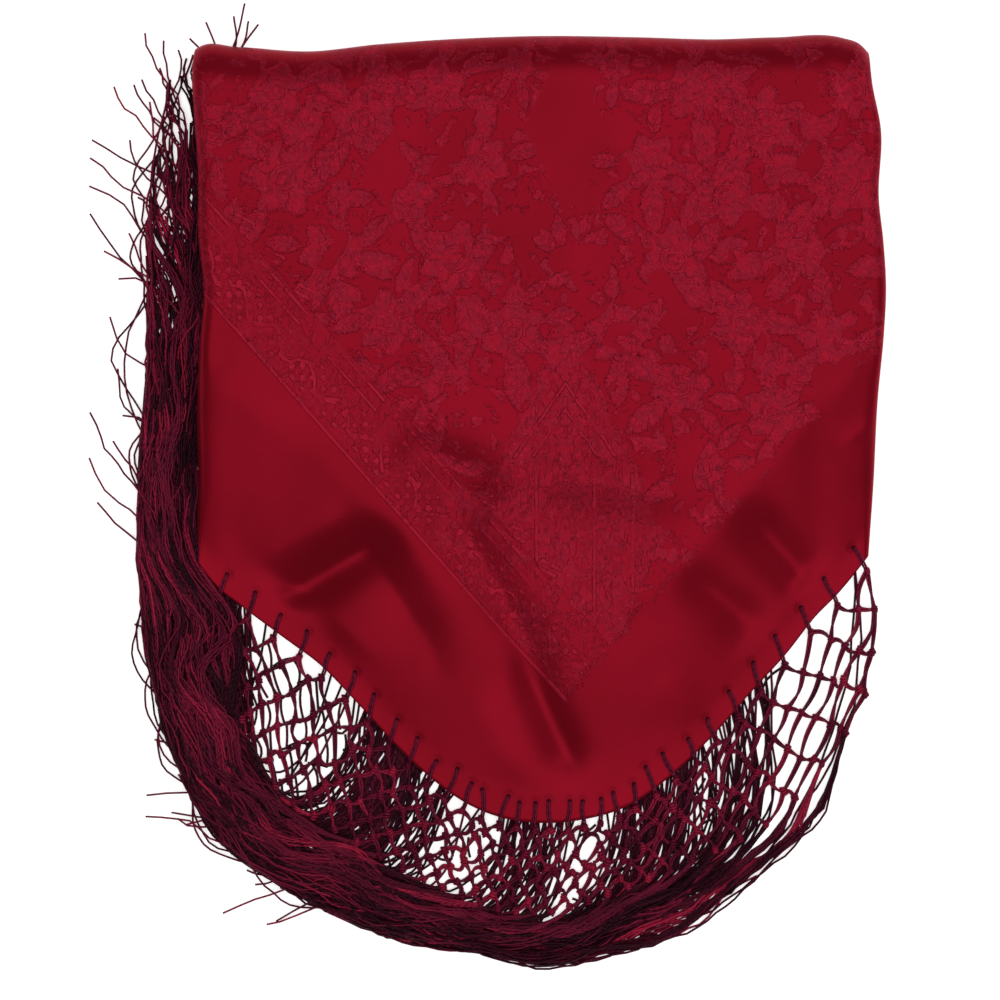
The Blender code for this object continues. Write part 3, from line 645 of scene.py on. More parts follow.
cloudy = satin.noise(place, 30 * MM, detail=2.0)
ground = satin.blend(cloudy.rise(0.35, 0.65), GROUND_SHADE, GROUND)
figure = satin.blend(dull, FIGURE_DULL, FIGURE_BRIGHT)
colour = satin.blend(field * 0.9, ground, figure)
colour = satin.blend(specks * 0.6, colour, FIGURE_LIGHT)
colour = satin.blend(rims * 0.2, colour, FIGURE_LIGHT)
colour = satin.blend(lines * 0.45, colour, FIGURE_LIGHT)
colour = satin.blend(dark_hairs * 0.85, colour, FIGURE_DARK)
colour = satin.blend(light_hairs * 0.65, colour, FIGURE_LIGHT)
colour = satin.blend(outline * from_right.rise(0, 1) * 0.4, colour, FIGURE_LIGHT)
u, v, _ = satin.split(satin.attribute("hole"))
hole_reach = satin.maths("SQRT", u * u + v * v)
# Painted shadow: a near-black dot where each loop goes down through the satin, for the shade in the hole.
hole = 1 - hole_reach.rise(0.7, 1.25)
# Around each hole the satin dips a little in the relief, and its colour is darkened there as painted shade.
pucker_and_painted_shade = 1 - hole_reach.rise(0.8, 3.6)
colour = satin.blend(pucker_and_painted_shade * 0.2, colour, FIGURE_DARK)
colour = satin.blend(hole, colour, HOLE_PAINTED_SHADOW)
satin.feed(satin.shader.inputs["Base Color"], colour)
satin.feed(satin.shader.inputs["Roughness"], 0.34 + field * 0.06)
WEAVE_RELIEF = 0.16 * MM
WEFT_STEP = 0.38
WARP_STEP = 0.32
weave = (x * (math.tau / WARP_STEP)).sine() * (y * (math.tau / WEFT_STEP)).sine()
outline_height = outline * from_right.rise(0, 1) * 0.8
height = field * 0.15 + rims * 0.25 + lines * 1.3 + outline_height + hairs * tufts * 0.7
satin.relief(height + weave * 0.03 - pucker_and_painted_shade * 0.8, WEAVE_RELIEF)
panel_data.materials.append(satin.material)
panel_data.shade_smooth()

satin_front = new_object("satin_front", panel_data)
wall = satin_front.modifiers.new("thickness", "SOLIDIFY")
wall.thickness = SATIN_THICKNESS
wall.offset = -1
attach(satin_front, "root")
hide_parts("front_panel")

# The layers folded behind: the rest of the triangle in about sixteen thicknesses of the same satin.
# They show only as rounded fold edges along the sides of the packet.
FOLD_COUNT = 5
FOLD_LEVELS = 7
LAYER_COLUMNS = 60
LAYER_ROWS = 70
UNDER_PANEL = 1.0 * MM


def layered_side(points, turn_share):
    """A ring of points down the packet's side, in or out with the fold edges: share 0 top, 1 foot."""
    on_top = on_top_fold(points)
    height = points[:, 2]
    around = np.arctan2(points[:, 1], points[:, 0])
    level = turn_share * FOLD_COUNT
    fold = np.abs(np.sin(math.pi * level)) ** 0.7
    number = math.floor(min(level, FOLD_COUNT - 0.001))
    uneven = 0.9 * np.sin(around * 5 + 1.9 * number) + 0.5 * np.sin(around * 13 + 4.1 * number)
    on_left = smooth(-points[:, 0] / (20 * MM)) * (1 - on_top)
    groove = (3.2 + 1.0 * on_left) * MM
    out = (0.9 + 0.5 * uneven + 1.2 * on_left) * MM
    inset = groove + (out - groove) * fold
    inset = np.maximum(0.4 * MM, inset) * (1 - on_top) + 1.6 * MM * on_top
    foot = 0.3 * MM * (turn_share > 0.98)
    return moved_in(points, inset + foot, height * (1 - turn_share))


layer_grid = satin_grid(UNDER_PANEL, LAYER_COLUMNS, LAYER_ROWS, hem_inset=3 * MM)
layer_mesh, vertices, ring = skin_mesh(layer_grid)
ring_points = np.concatenate([fold_edge(layer_grid), layer_grid[-1, -2:0:-1]])
ring += vertices[-1][-2:0:-1]
side_steps = FOLD_COUNT * FOLD_LEVELS
for step in range(1, side_steps + 1):
    lower = [layer_mesh.verts.new(point) for point in layered_side(ring_points, step / side_steps)]
    for i in range(len(ring)):
        j = (i + 1) % len(ring)
        layer_mesh.faces.new((ring[i], lower[i], lower[j], ring[j]))
    ring = lower
layer_mesh.faces.new(ring)
bmesh.ops.recalc_face_normals(layer_mesh, faces=layer_mesh.faces)
layer_data = bpy.data.meshes.new("satin_folds")
layer_mesh.to_mesh(layer_data)
layer_mesh.free()
own = np.array([vertex.co[:] for vertex in layer_data.vertices])
layer_data.vertices.foreach_set("co", (own + SHIFT).ravel())
layer_data.shade_smooth()

plain_satin = Finish("plain_crimson_satin", roughness=0.4, metallic=0.45)
plain_satin.shader.inputs["Specular Tint"].default_value = (0.9, 0.12, 0.2, 1)
place = plain_satin.position()
cloudy = plain_satin.noise(place, 20 * MM)
grain = plain_satin.noise(place, 0.9 * MM, detail=3.0, roughness=0.7, distortion=1.5)
plain_satin.feed(plain_satin.shader.inputs["Base Color"], plain_satin.blend(cloudy, GROUND_SHADE, GROUND))
plain_satin.relief(grain, 0.05 * MM)
layer_data.materials.append(plain_satin.material)
satin_folds = new_object("satin_folds", layer_data)
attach(satin_folds, "root")
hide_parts("folded_layers")

# The yarn: glossy rayon of dark wine red, two-ply, a little over half a millimetre thick.
# Every loop, knot and fringe end below is this yarn, run along paths that are worked out here.
YARN_WIDTH = 0.60 * MM
YARN_SIDES = 5
TWIST_LENGTH = 1.6 * MM
WINE = rgb(93, 14, 40)
WINE_LIGHT = rgb(160, 28, 58)
WINE_DARK = rgb(32, 3, 15)

yarn = Finish("wine_yarn", roughness=0.42, metallic=0.15)
yarn.shader.inputs["Specular IOR Level"].default_value = 0.15
yarn.shader.inputs["Specular Tint"].default_value = (1.0, 0.5, 0.6, 1)
along, _, _ = yarn.split(yarn.attribute("along"))
around, _, _ = yarn.split(yarn.attribute("around"))
# Each yarn's tone: the shade of its dye, and for some yarns painted shade as well.
shade_of_yarn, _, _ = yarn.split(yarn.attribute("dye_and_shade"))
# The twist of the two plies: it shapes the relief, and it also lightens and darkens the colour along the
# twist as painted highlight and painted shade.
ply_relief_and_painted_light = (along * (2 * math.pi / TWIST_LENGTH) + around * (4 * math.pi)).sine()
uneven = yarn.noise(yarn.position(), 9 * MM, detail=2.0)
tone = ply_relief_and_painted_light * 0.10 + uneven * 0.45 + shade_of_yarn * 0.6
colour = yarn.blend(tone.rise(0.05, 0.5), WINE_DARK, WINE)
colour = yarn.blend(tone.rise(0.5, 0.95), colour, WINE_LIGHT)
yarn.feed(yarn.shader.inputs["Base Color"], colour)
yarn.relief(ply_relief_and_painted_light * 0.5 + 0.5, 0.08 * MM)


def yarn_tree():
    """Geometry nodes that turn edges into yarn: a round section along each path, closed at its ends."""
    tree = bpy.data.node_groups.new("yarn_along_paths", "GeometryNodeTree")
    for name, kind in (("Paths", "NodeSocketGeometry"), ("Width", "NodeSocketFloat"),
                       ("Sides", "NodeSocketInt"), ("Yarn", "NodeSocketMaterial")):
        tree.interface.new_socket(name, in_out="INPUT", socket_type=kind)
    tree.interface.new_socket("Yarn mesh", in_out="OUTPUT", socket_type="NodeSocketGeometry")

    def add(kind, settings=None, **sockets):
        node = tree.nodes.new(kind)
        for key, value in (settings or {}).items():
            setattr(node, key, value)
        for key, value in sockets.items():
            socket = node.inputs[key.replace("_", " ")]
            if isinstance(value, bpy.types.NodeSocket):
                tree.links.new(value, socket)
            else:
                socket.default_value = value
        return node

    given = add("NodeGroupInput").outputs
    half = add("ShaderNodeMath", {"operation": "MULTIPLY"})
    tree.links.new(given["Width"], half.inputs[0])
    half.inputs[1].default_value = 0.5
    path = add("GeometryNodeMeshToCurve", Mesh=given["Paths"]).outputs["Curve"]
    length = add("GeometryNodeSplineParameter").outputs["Length"]
    path = add("GeometryNodeStoreNamedAttribute", {"domain": "POINT"}, Geometry=path, Name="along",
               Value=length)
    ring = add("GeometryNodeCurvePrimitiveCircle", Resolution=given["Sides"], Radius=half.outputs[0])
    turn = add("GeometryNodeSplineParameter").outputs["Factor"]
    ring = add("GeometryNodeStoreNamedAttribute", {"domain": "POINT"}, Geometry=ring.outputs["Curve"],
               Name="around", Value=turn)
    sockets = {"Curve": path.outputs[0], "Profile_Curve": ring.outputs[0], "Fill_Caps": True}
    tube = add("GeometryNodeCurveToMesh", **sockets).outputs["Mesh"]
    tube = add("GeometryNodeSetShadeSmooth", Geometry=tube).outputs[0]
    tube = add("GeometryNodeRealizeInstances", Geometry=tube).outputs[0]
    tube = add("GeometryNodeSetMaterial", Geometry=tube, Material=given["Yarn"]).outputs[0]
    tree.links.new(tube, add("NodeGroupOutput").inputs[0])
    return tree


YARN_TREE = yarn_tree()


def lay_yarn(name, paths, dyes_and_shade, width=YARN_WIDTH, sides=YARN_SIDES):
    """One piece of all the yarn that runs along some paths, each with its own tone: its dye, darkened as
    painted shade for the net behind, the fringe behind and the upper fringe.
    """
    points = np.concatenate(paths) + SHIFT
    edges = []
    start = 0
    for path in paths:
        edges += [(i, i + 1) for i in range(start, start + len(path) - 1)]
        start += len(path)
    data = bpy.data.meshes.new(name + "_paths")
    data.from_pydata(points.tolist(), edges, [])
    dye_and_shade = data.attributes.new("dye_and_shade", "FLOAT", "POINT")
    dye_and_shade.data.foreach_set("value", np.repeat(np.asarray(dyes_and_shade, dtype=float), [len(path) for path in paths]))
    guide = new_object(name + "_paths", data)
    maker = guide.modifiers.new("yarn", "NODES")
    maker.node_group = YARN_TREE
    inputs = [item for item in YARN_TREE.interface.items_tree if item.in_out == "INPUT"]
    sockets = {item.name: item.identifier for item in inputs}
    maker[sockets["Width"]] = float(width)
    maker[sockets["Sides"]] = int(sides)
    maker[sockets["Yarn"]] = yarn.material
    graph = bpy.context.evaluated_depsgraph_get()
    yarns = guide.evaluated_get(graph)
    made = bpy.data.meshes.new_from_object(yarns, preserve_all_data_layers=True, depsgraph=graph)
    bpy.data.objects.remove(guide)
    made.name = name
    made.shade_smooth()
    piece = new_object(name, made)
    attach(piece, "root")
    return piece


# The knotted net: loops of doubled yarn through the cloth beside the hem, tied in rows of staggered
# knots. Each cord is two yarns; each knot is the yarns wound round each other.
NET_FROM_HEM = 2.0 * MM
NET_YARN_WIDTH = 0.74 * MM
KNOT_ROWS = 8
KNOT_LENGTH = 1.9 * MM
KNOT_RADIUS = 0.6 * MM
NET_LEVEL = 1.45 * MM
NET_END_SECTION = 13.2
NET_RIGHT_EDGE = 93.2 * MM
BACK_LEVEL = 0.36 * MM
BACK_CORD_WIDTH = 0.72 * MM
# How far the net has slid sideways by its last row: x of a loop at the hem, x of its last knot, mm
NET_LEAN = (
    (-70.0, -66.6), (-65.0, -66.1), (-60.0, -65.2), (-54.5, -63.0), (-44.0, -55.0), (-30.0, -42.0),
    (-12.0, -21.0), (12.0, 5.5), (40.0, 36.5), (65.0, 64.0), (78.0, 78.5), (91.0, 89.5),
)
# The sweep of the fringe from the right end of the net round to the top left corner, a row for each
# section across it: the inner side x, y and the outer side x, y, in mm
SWEEP = (
    (91.7, -51.0, 94.0, -52.0), (86.7, -58.7, 90.6, -61.4), (80.0, -68.0, 85.3, -73.5),
    (69.2, -80.7, 75.0, -86.5), (57.0, -87.5, 61.0, -98.2), (42.0, -94.2, 47.5, -108.0),
    (25.0, -100.5, 28.7, -114.2), (11.2, -104.7, 11.2, -117.0), (-2.5, -103.0, -6.2, -113.5),
    (-17.5, -97.0, -23.0, -111.0), (-32.0, -89.5, -40.0, -104.5), (-46.0, -81.0, -56.0, -96.5),
    (-58.6, -71.8, -71.4, -84.3), (-66.4, -58.0, -82.8, -62.3), (-69.0, -43.0, -88.5, -39.5),
    (-71.5, -28.0, -90.5, -19.0), (-78.6, -13.5, -90.7, -7.0), (-78.8, 5.5, -90.2, 10.5),
    (-78.3, 28.0, -88.7, 30.5), (-77.6, 50.0, -88.2, 52.5), (-78.3, 70.0, -88.2, 70.0),
    (-78.5, 87.5, -86.7, 85.0), (-79.5, 101.2, -84.0, 98.7), (-80.0, 113.0, -83.0, 113.0),
)
rows = [(float(i), *row) for i, row in enumerate(SWEEP)]
section = np.linspace(0, len(rows) - 1, 20 * (len(rows) - 1) + 1)
INNER = np.stack([curve_through(rows, section, 1), curve_through(rows, section, 2)], axis=1) * MM
OUTER = np.stack([curve_through(rows, section, 3), curve_through(rows, section, 4)], axis=1) * MM
MIDDLE = (INNER + OUTER) / 2
gaps_along = np.linalg.norm(np.diff(MIDDLE, axis=0), axis=1)
DISTANCE = np.concatenate([[0], np.cumsum(gaps_along)])
NET_LENGTH = float(np.interp(NET_END_SECTION, section, DISTANCE))
SWEEP_LENGTH = float(DISTANCE[-1])


def on_side(side, distance):
    """A point of the sweep's inner or outer side, at a distance along it."""
    return np.stack([np.interp(distance, DISTANCE, side[:, k]) for k in range(2)], axis=-1)


def across_sweep(distance):
    """The direction from the sweep's inner side to its outer side."""
    way = on_side(OUTER, distance) - on_side(INNER, distance)
    return way / np.linalg.norm(way, axis=-1, keepdims=True)


def outward(distance):
    """The direction square to the sweep's run, towards its outer side."""
    run = on_side(INNER, distance + 1.5 * MM) - on_side(INNER, np.maximum(0.0, distance - 1.5 * MM))
    run = run / np.linalg.norm(run, axis=-1, keepdims=True)
    return np.stack([-run[..., 1], run[..., 0]], axis=-1)


def last_knot(x):
    """The knot of the last row that a loop at x leads to, and how far along the sweep it is."""
    places = np.linspace(0, NET_LENGTH, 200)
    distance = float(np.interp(-line_at(NET_LEAN, x), -on_side(INNER, places)[:, 0], places))
    return on_side(INNER, distance) - outward(distance) * MM, distance


knots = []
for row in range(KNOT_ROWS):
    share = row / (KNOT_ROWS - 1)
    loose = math.sin(math.pi * min(share + 0.1, 1))
    edge_first = np.array((loop_x(LOOP_COUNT - 1), line_at(HEM_LINE, loop_x(LOOP_COUNT - 1))))
    edge_last, _ = last_knot(loop_x(LOOP_COUNT - 1))
    edge_x = edge_first[0] + (edge_last[0] - edge_first[0]) * share
    line = []
    for i in range(LOOP_COUNT - row % 2):
        x = loop_x(i + 0.5 * (row % 2))
        first = np.array((x, line_at(HEM_LINE, x))) + hem_outward(x) * NET_FROM_HEM
        last, _ = last_knot(x)
        spot = first + (last - first) * share
        drift = (math.sin(spot[0] / (7.1 * MM) + 1.3 * row), math.sin(spot[0] / (5.3 * MM) - 1.9 * row))
        shaken = chance.normal(0, 0.5 * MM, 2) + np.array(drift) * 0.55 * MM
        near_edge = float(smooth((i + 0.5 * (row % 2) - 26) / 5)) * smooth(share * 6)
        pull = (NET_RIGHT_EDGE - edge_x) * near_edge * (1 - smooth((share - 0.72) / 0.28) * 0.8)
        line.append(spot + shaken * loose + np.array((pull, 0.0)))
    knots.append(line)


def paired_cord(first, second, twist, slack):
    """Two yarns side by side from one knot to another, turning round each other a little."""
    share = np.linspace(0, 1, 7)
    run = second - first
    side = np.array((-run[1], run[0])) / np.linalg.norm(run)
    middle = first + run * share[:, None] + side * (slack * np.sin(math.pi * share))[:, None]
    paths = []
    for sign in (-1, 1):
        off = sign * NET_YARN_WIDTH * 0.46 * np.cos(twist * share)
        lift = sign * NET_YARN_WIDTH * 0.42 * np.sin(twist * share)
        paths.append(np.column_stack([middle + side * off[:, None], NET_LEVEL + lift]))
    return paths


def wound_knot(place, run, size):
    """The yarns wound round each other: three turns about the cord's run, thickest in the middle."""
    run = run / np.linalg.norm(run)
    side = np.array((-run[1], run[0]))
    share = np.linspace(-1, 1, 26)
    turns = 3.2 * math.pi * share
    radius = KNOT_RADIUS * size * (0.55 + 0.6 * np.cos(share * 1.35))
    flat = place + run * (share * KNOT_LENGTH * size / 2)[:, None] + side * (radius * np.cos(turns))[:, None]
    return np.column_stack([flat, NET_LEVEL + 0.15 * MM + radius * np.sin(turns)])


net_paths = []
net_dyes = []
for row, line in enumerate(knots):
    for i, place in enumerate(line):
        left = i - 1 if row % 2 == 0 else i
        below = []
        if row + 1 < KNOT_ROWS:
            below = [knots[row + 1][j] for j in (left, left + 1) if 0 <= j < len(knots[row + 1])]
        if row % 2 == 0 and i == LOOP_COUNT - 1 and row + 2 < KNOT_ROWS:
            below.append(knots[row + 2][i])
        dye_and_shade = chance.uniform(0.15, 0.8)
        for lower in below:
            net_paths += paired_cord(place, lower, chance.uniform(1.0, 3.4), chance.normal(0, 0.6 * MM))
            net_dyes += [dye_and_shade + 0.12, dye_and_shade - 0.12]
        run = np.array((0.0, -1.0)) + 0.35 * chance.normal(0, 1, 2)
        net_paths.append(wound_knot(place, run, chance.uniform(0.8, 1.25)))
        net_dyes.append(dye_and_shade + 0.1)
# The net of the layer behind, seen through this one: it has slid down and to the left, and shows most
# at its left end.
back_paths = []
back_dyes_and_shade = []
for row, line in enumerate(knots[:-1]):
    for i, place in enumerate(line[:-3]):
        left = i - 1 if row % 2 == 0 else i
        shift = np.array((-2.2 * MM, -1.2 * MM)) * smooth((row + 1) / 2)
        hidden = 0.08 if place[0] < -25 * MM else 0.85
        for j in (left, left + 1):
            if not 0 <= j < len(knots[row + 1]) or chance.uniform() < hidden:
                continue
            first = place + shift + chance.normal(0, 0.35 * MM, 2)
            second = knots[row + 1][j] + np.array((-2.6 * MM, -1.0 * MM)) + chance.normal(0, 0.35 * MM, 2)
            share = np.linspace(0, 1, 6)[:, None]
            run = second - first
            bow = np.array((-run[1], run[0])) * chance.normal(0, 0.09) * np.sin(math.pi * share)
            path = first + run * share + bow
            back_paths.append(np.column_stack([path, np.full(6, BACK_LEVEL)]))
            # Painted shade: the yarns of the net behind get darker tones than the front net, for the shade
            # that they lie in.
            back_dyes_and_shade.append(chance.uniform(-0.4, 0.15))
lay_yarn("net_behind", back_paths, back_dyes_and_shade, width=BACK_CORD_WIDTH)
net_piece = lay_yarn("net_of_knots", net_paths, net_dyes, width=NET_YARN_WIDTH)
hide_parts("knotted_net")

# The loops over the hem: each is two yarns that come up from the first knot, lie on the cloth, and go
# down through it inside the hem.
LOOP_YARN_WIDTH = 0.62 * MM
loop_paths = []
loop_dyes = []
for i, inner_end in enumerate(loop_ends):
    place = knots[0][i]
    on_hem = np.array((loop_x(i), line_at(HEM_LINE, loop_x(i))))
    side = np.array((inner_end[1] - place[1], place[0] - inner_end[0]))
    side = side / np.linalg.norm(side)
    for sign in (-1, 1):
        off = side * sign * NET_YARN_WIDTH * 0.4
        points = [(*(place + off), NET_LEVEL)]
        below_hem = on_hem + (place - on_hem) * 0.35 + off
        points.append((*below_hem, 0.75 * HEM_HEIGHT + 0.4 * MM))
        for share in (0.04, 0.2, 0.5, 0.8, 0.95):
            spot = on_hem + (inner_end - on_hem) * share + off * (1 - 0.5 * share**4)
            spot = spot + side * (0.35 * MM * math.sin(math.pi * share) * math.sin(2.7 * i))
            points.append((*spot, float(cloth_top(spot[0], spot[1])) + NET_YARN_WIDTH * 0.45))
        points.append((*inner_end, float(cloth_top(inner_end[0], inner_end[1])) - 0.3 * MM))
        loop_paths.append(np.array(points))
        loop_dyes.append(0.4 + 0.15 * sign)
lay_yarn("hem_loops", loop_paths, loop_dyes, width=LOOP_YARN_WIDTH)

# The fringe: the free ends below the last knots, thirteen to a knot and 20 cm long, swept to the left
# and up the packet's left side. They keep to loose strands and end in a straggle.
FRINGE_LENGTH = 200 * MM
YARNS_TO_A_KNOT = 13
FRINGE_STEP = 2.9 * MM
PILE_HEIGHT = 3.4 * MM
# How far the yarns lie under the packet's edge: distance along the sweep's inner side, reach, mm
UNDER_PACKET = (
    (0.0, 0.0), (150.0, 0.0), (180.0, 1.0), (205.0, 3.4), (230.0, 4.8), (247.0, 6.6), (262.0, 5.2),
    (280.0, 4.2), (301.0, 4.4), (323.0, 4.8), (342.0, 4.6), (358.0, 4.6), (372.0, 5.0), (385.0, 5.4),
)
# The shade of each strand in turn: below 0 towards the darkest wine, above 0 towards the lightest.
STRAND_DYES = (0.35, -0.35, 0.6, -0.2, 0.1, 0.9, -0.15, 0.3)
# The shades that the other yarns take by chance, and how often each comes up.
LOOSE_DYES = (-0.35, -0.1, 0.15, 0.4, 0.8)
LOOSE_SHARES = (0.2, 0.22, 0.24, 0.24, 0.1)
shortest = SWEEP_LENGTH - NET_LENGTH - 2 * MM
shrink = (FRINGE_LENGTH - shortest) / NET_LENGTH


def waves(distance, seeds, lengths, size):
    """A gentle wander along a yarn: a few waves of given lengths, each with its own start."""
    total = 0.0
    for seed, length in zip(seeds, lengths):
        total = total + np.sin(2 * math.pi * (distance / length + seed))
    return size * total / len(lengths)


def sweep_place(x, y):
    """How far along the sweep a point in mm is, in metres."""
    point = np.array((x, y)) * MM
    return float(DISTANCE[int(np.argmin(np.linalg.norm(MIDDLE - point, axis=1)))])


def new_strand():
    """What the yarns of one strand share."""
    return {
        "seeds": chance.uniform(0, 1, 3),
        "pitch": chance.uniform(45, 95) * MM * chance.choice((-1, 1)),
        "level": chance.uniform(0.05, 0.95),
        "dye_and_shade": chance.choice(LOOSE_DYES, p=LOOSE_SHARES),
    }


def new_member():
    """What is each yarn's own."""
    return {
        "seeds": chance.uniform(0, 1, 3),
        "turn": chance.uniform(0, 1),
        "orbit": chance.uniform(0.25, 1.0) * MM,
        "loose": chance.uniform(0.02, 0.10),
        "crimp": chance.uniform(0.15, 0.75) * MM,
    }


def along_sweep(distance, root, lane, strand, member):
    """The places of a yarn that runs along the sweep: lane 0 at its inner side, 1 at its outer side."""
    inner = on_side(INNER, distance)
    outer = on_side(OUTER, distance)
    under = curve_through(UNDER_PACKET, distance / MM) * MM
    width = np.linalg.norm(outer - inner, axis=1) + under
    loosening = 1 + 0.8 * smooth((distance - 290 * MM) / (80 * MM))
    lane = np.clip(lane, 0, 1.1) ** (1 + 0.9 * smooth((distance - 280 * MM) / (70 * MM)))
    lane = lane + waves(distance, strand["seeds"], (41 * MM, 67 * MM, 27 * MM), 0.17 * loosening)
    lane = lane + waves(distance, member["seeds"], (29 * MM, 61 * MM, 17 * MM), member["loose"] * loosening)
    crimp = waves(distance, member["seeds"][::-1], (11 * MM, 7.3 * MM, 15 * MM), member["crimp"])
    spin = 2 * math.pi * (distance / strand["pitch"] + member["turn"])
    orbit = member["orbit"] * smooth((distance - root) / (15 * MM))
    wide = 2 * lane - 1
    lane = 0.5 + 0.51 * wide / (1 + np.abs(wide) ** 5) ** 0.2
    offset = width * lane - under + orbit * np.cos(spin) * 0.8 + crimp
    thick = smooth(distance / (120 * MM)) * smooth((SWEEP_LENGTH + 25 * MM - distance) / (70 * MM))
    level = strand["level"] + waves(distance, strand["seeds"][::-1], (53 * MM, 37 * MM), 0.22)
    pile = 0.7 * MM + PILE_HEIGHT * (0.2 + 0.8 * thick) * level + 0.5 * crimp
    height = np.maximum(0.32 * MM, pile + orbit * np.sin(spin) * 0.8)
    roof = np.where((offset < 1.5 * MM) & (distance > 255 * MM), 5.2 * MM, 9 * MM)
    return inner + across_sweep(distance) * offset[:, None], np.minimum(height, roof)


def lane_of(distance, root):
    """The lane of the yarns from a knot: the last that joined lie inside, and the first are outside."""
    youngest = np.minimum(distance, NET_LENGTH)
    oldest = np.maximum(0.0, (distance - FRINGE_LENGTH) / (1 - shrink))
    lane = (youngest - root) / np.maximum(youngest - oldest, 10 * MM)
    return 0.05 + 0.9 * np.clip(lane, 0, 1.02)


chance = np.random.default_rng(41)
fringe_paths = []
fringe_dyes = []
for number, place in enumerate(knots[-1]):
    _, root = last_knot(loop_x(number + 0.5))
    strand = new_strand()
    strand["dye_and_shade"] = STRAND_DYES[number % len(STRAND_DYES)]
    for k in range(YARNS_TO_A_KNOT):
        member = new_member()
        length = (FRINGE_LENGTH - shrink * root) * chance.uniform(0.9, 1.06)
        end = min(root + length, SWEEP_LENGTH - abs(chance.normal(0, 13)) * MM)
        distance = np.linspace(root, end, max(8, int((end - root) / FRINGE_STEP)))
        astray = chance.uniform(0, 0.5) if k % 4 == 0 else 0
        lane = lane_of(distance, root) + astray * smooth((distance - root) / (70 * MM))
        spot, height = along_sweep(distance, root, lane, strand, member)
        leaving = smooth((distance - root) / (chance.uniform(9, 15) * MM))
        start = place + chance.normal(0, 0.3 * MM, 2)
        spot = start * (1 - leaving)[:, None] + spot * leaving[:, None]
        height = NET_LEVEL * (1 - leaving) + height * leaving
        fringe_paths.append(np.column_stack([spot, height]))
        fringe_dyes.append(strand["dye_and_shade"] + chance.uniform(-0.2, 0.2))

third = len(fringe_paths) // 3
for number, name in enumerate(("left", "middle", "right")):
    part = slice(number * third, None if name == "right" else (number + 1) * third)
    piece = lay_yarn("fringe_ends_" + name, fringe_paths[part], fringe_dyes[part])
    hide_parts("fringe_" + name)

# The fringe of the layers behind: yarns that come from under the hem, cross behind the net and join the
# sweep. Their colour is darkened as painted shade, for the shade of the net.
# Where they come from under the hem, in streams: x of the middle, spread, number of yarns
STREAMS = (
    (-69.5, 3.8, 66), (-25.0, 6.2, 140), (10.0, 4.2, 42), (40.0, 5.0, 74), (61.0, 4.0, 38),
    (20.0, 50.0, 16),
)
behind_paths = []
behind_dyes_and_shade = []
chance = np.random.default_rng(17)
streams = np.array(STREAMS)
for stream in np.repeat(np.arange(len(STREAMS)), streams[:, 2].astype(int)):
    x = chance.normal(*streams[stream, :2])
    x = float(np.clip(x, -75.5, 89)) * MM
    start = np.array((x, line_at(HEM_LINE, x) + 2.2 * MM))
    _, root = last_knot(float(np.clip(x, -69 * MM, 90 * MM)))
    root = min(root + chance.uniform(2, 22) * MM, NET_LENGTH + 18 * MM)
    strand = new_strand()
    member = new_member()
    member["orbit"] *= 0.6
    strand["level"] *= 0.6
    end = min(root + chance.uniform(60, 120) * MM, SWEEP_LENGTH - 5 * MM)
    distance = np.linspace(root, end, max(8, int((end - root) / FRINGE_STEP)))
    astray = chance.uniform(0.0, 0.5)
    lane = lane_of(distance, root) + astray * smooth((distance - root) / (60 * MM)) + 0.08
    spot, height = along_sweep(distance, root, lane, strand, member)
    run = (spot[1] - spot[0]) / np.linalg.norm(spot[1] - spot[0])
    gap = np.linalg.norm(spot[0] - start)
    handle = spot[0] - run * gap * 0.45
    t = np.linspace(0, 1, 11)[:-1, None]
    crossing = start * (1 - t) ** 2 + handle * 2 * t * (1 - t) + spot[0] * t**2
    sway = np.sin(t[:, 0] * math.pi) * waves(t[:, 0], member["seeds"], (0.9, 0.45, 0.3), 1.1 * MM)
    crossing = crossing + np.stack([-run[1] * sway, run[0] * sway], axis=1)
    low = 0.3 * MM + 0.25 * MM * member["turn"]
    level = low + (height[0] - low) * t[:, 0] ** 3 + 0.6 * MM * (1 - t[:, 0]) ** 2
    crossing = np.column_stack([crossing, level])
    behind_paths.append(np.concatenate([crossing, np.column_stack([spot, height])]))
    # Painted shade: darker tones than the strand's own.
    behind_dyes_and_shade.append(strand["dye_and_shade"] * 0.5 + chance.uniform(-0.45, 0.0))
lay_yarn("fringe_behind", behind_paths, behind_dyes_and_shade, width=0.6 * MM, sides=4)

# The stray ends: yarns that leave the sweep and lie loose on the table, slack yarns that bow out of it,
# the thin upper end of the fringe, and a few ends above the top fold.
STRAY_WIDTH = 0.54 * MM
UPPER_YARNS = 46
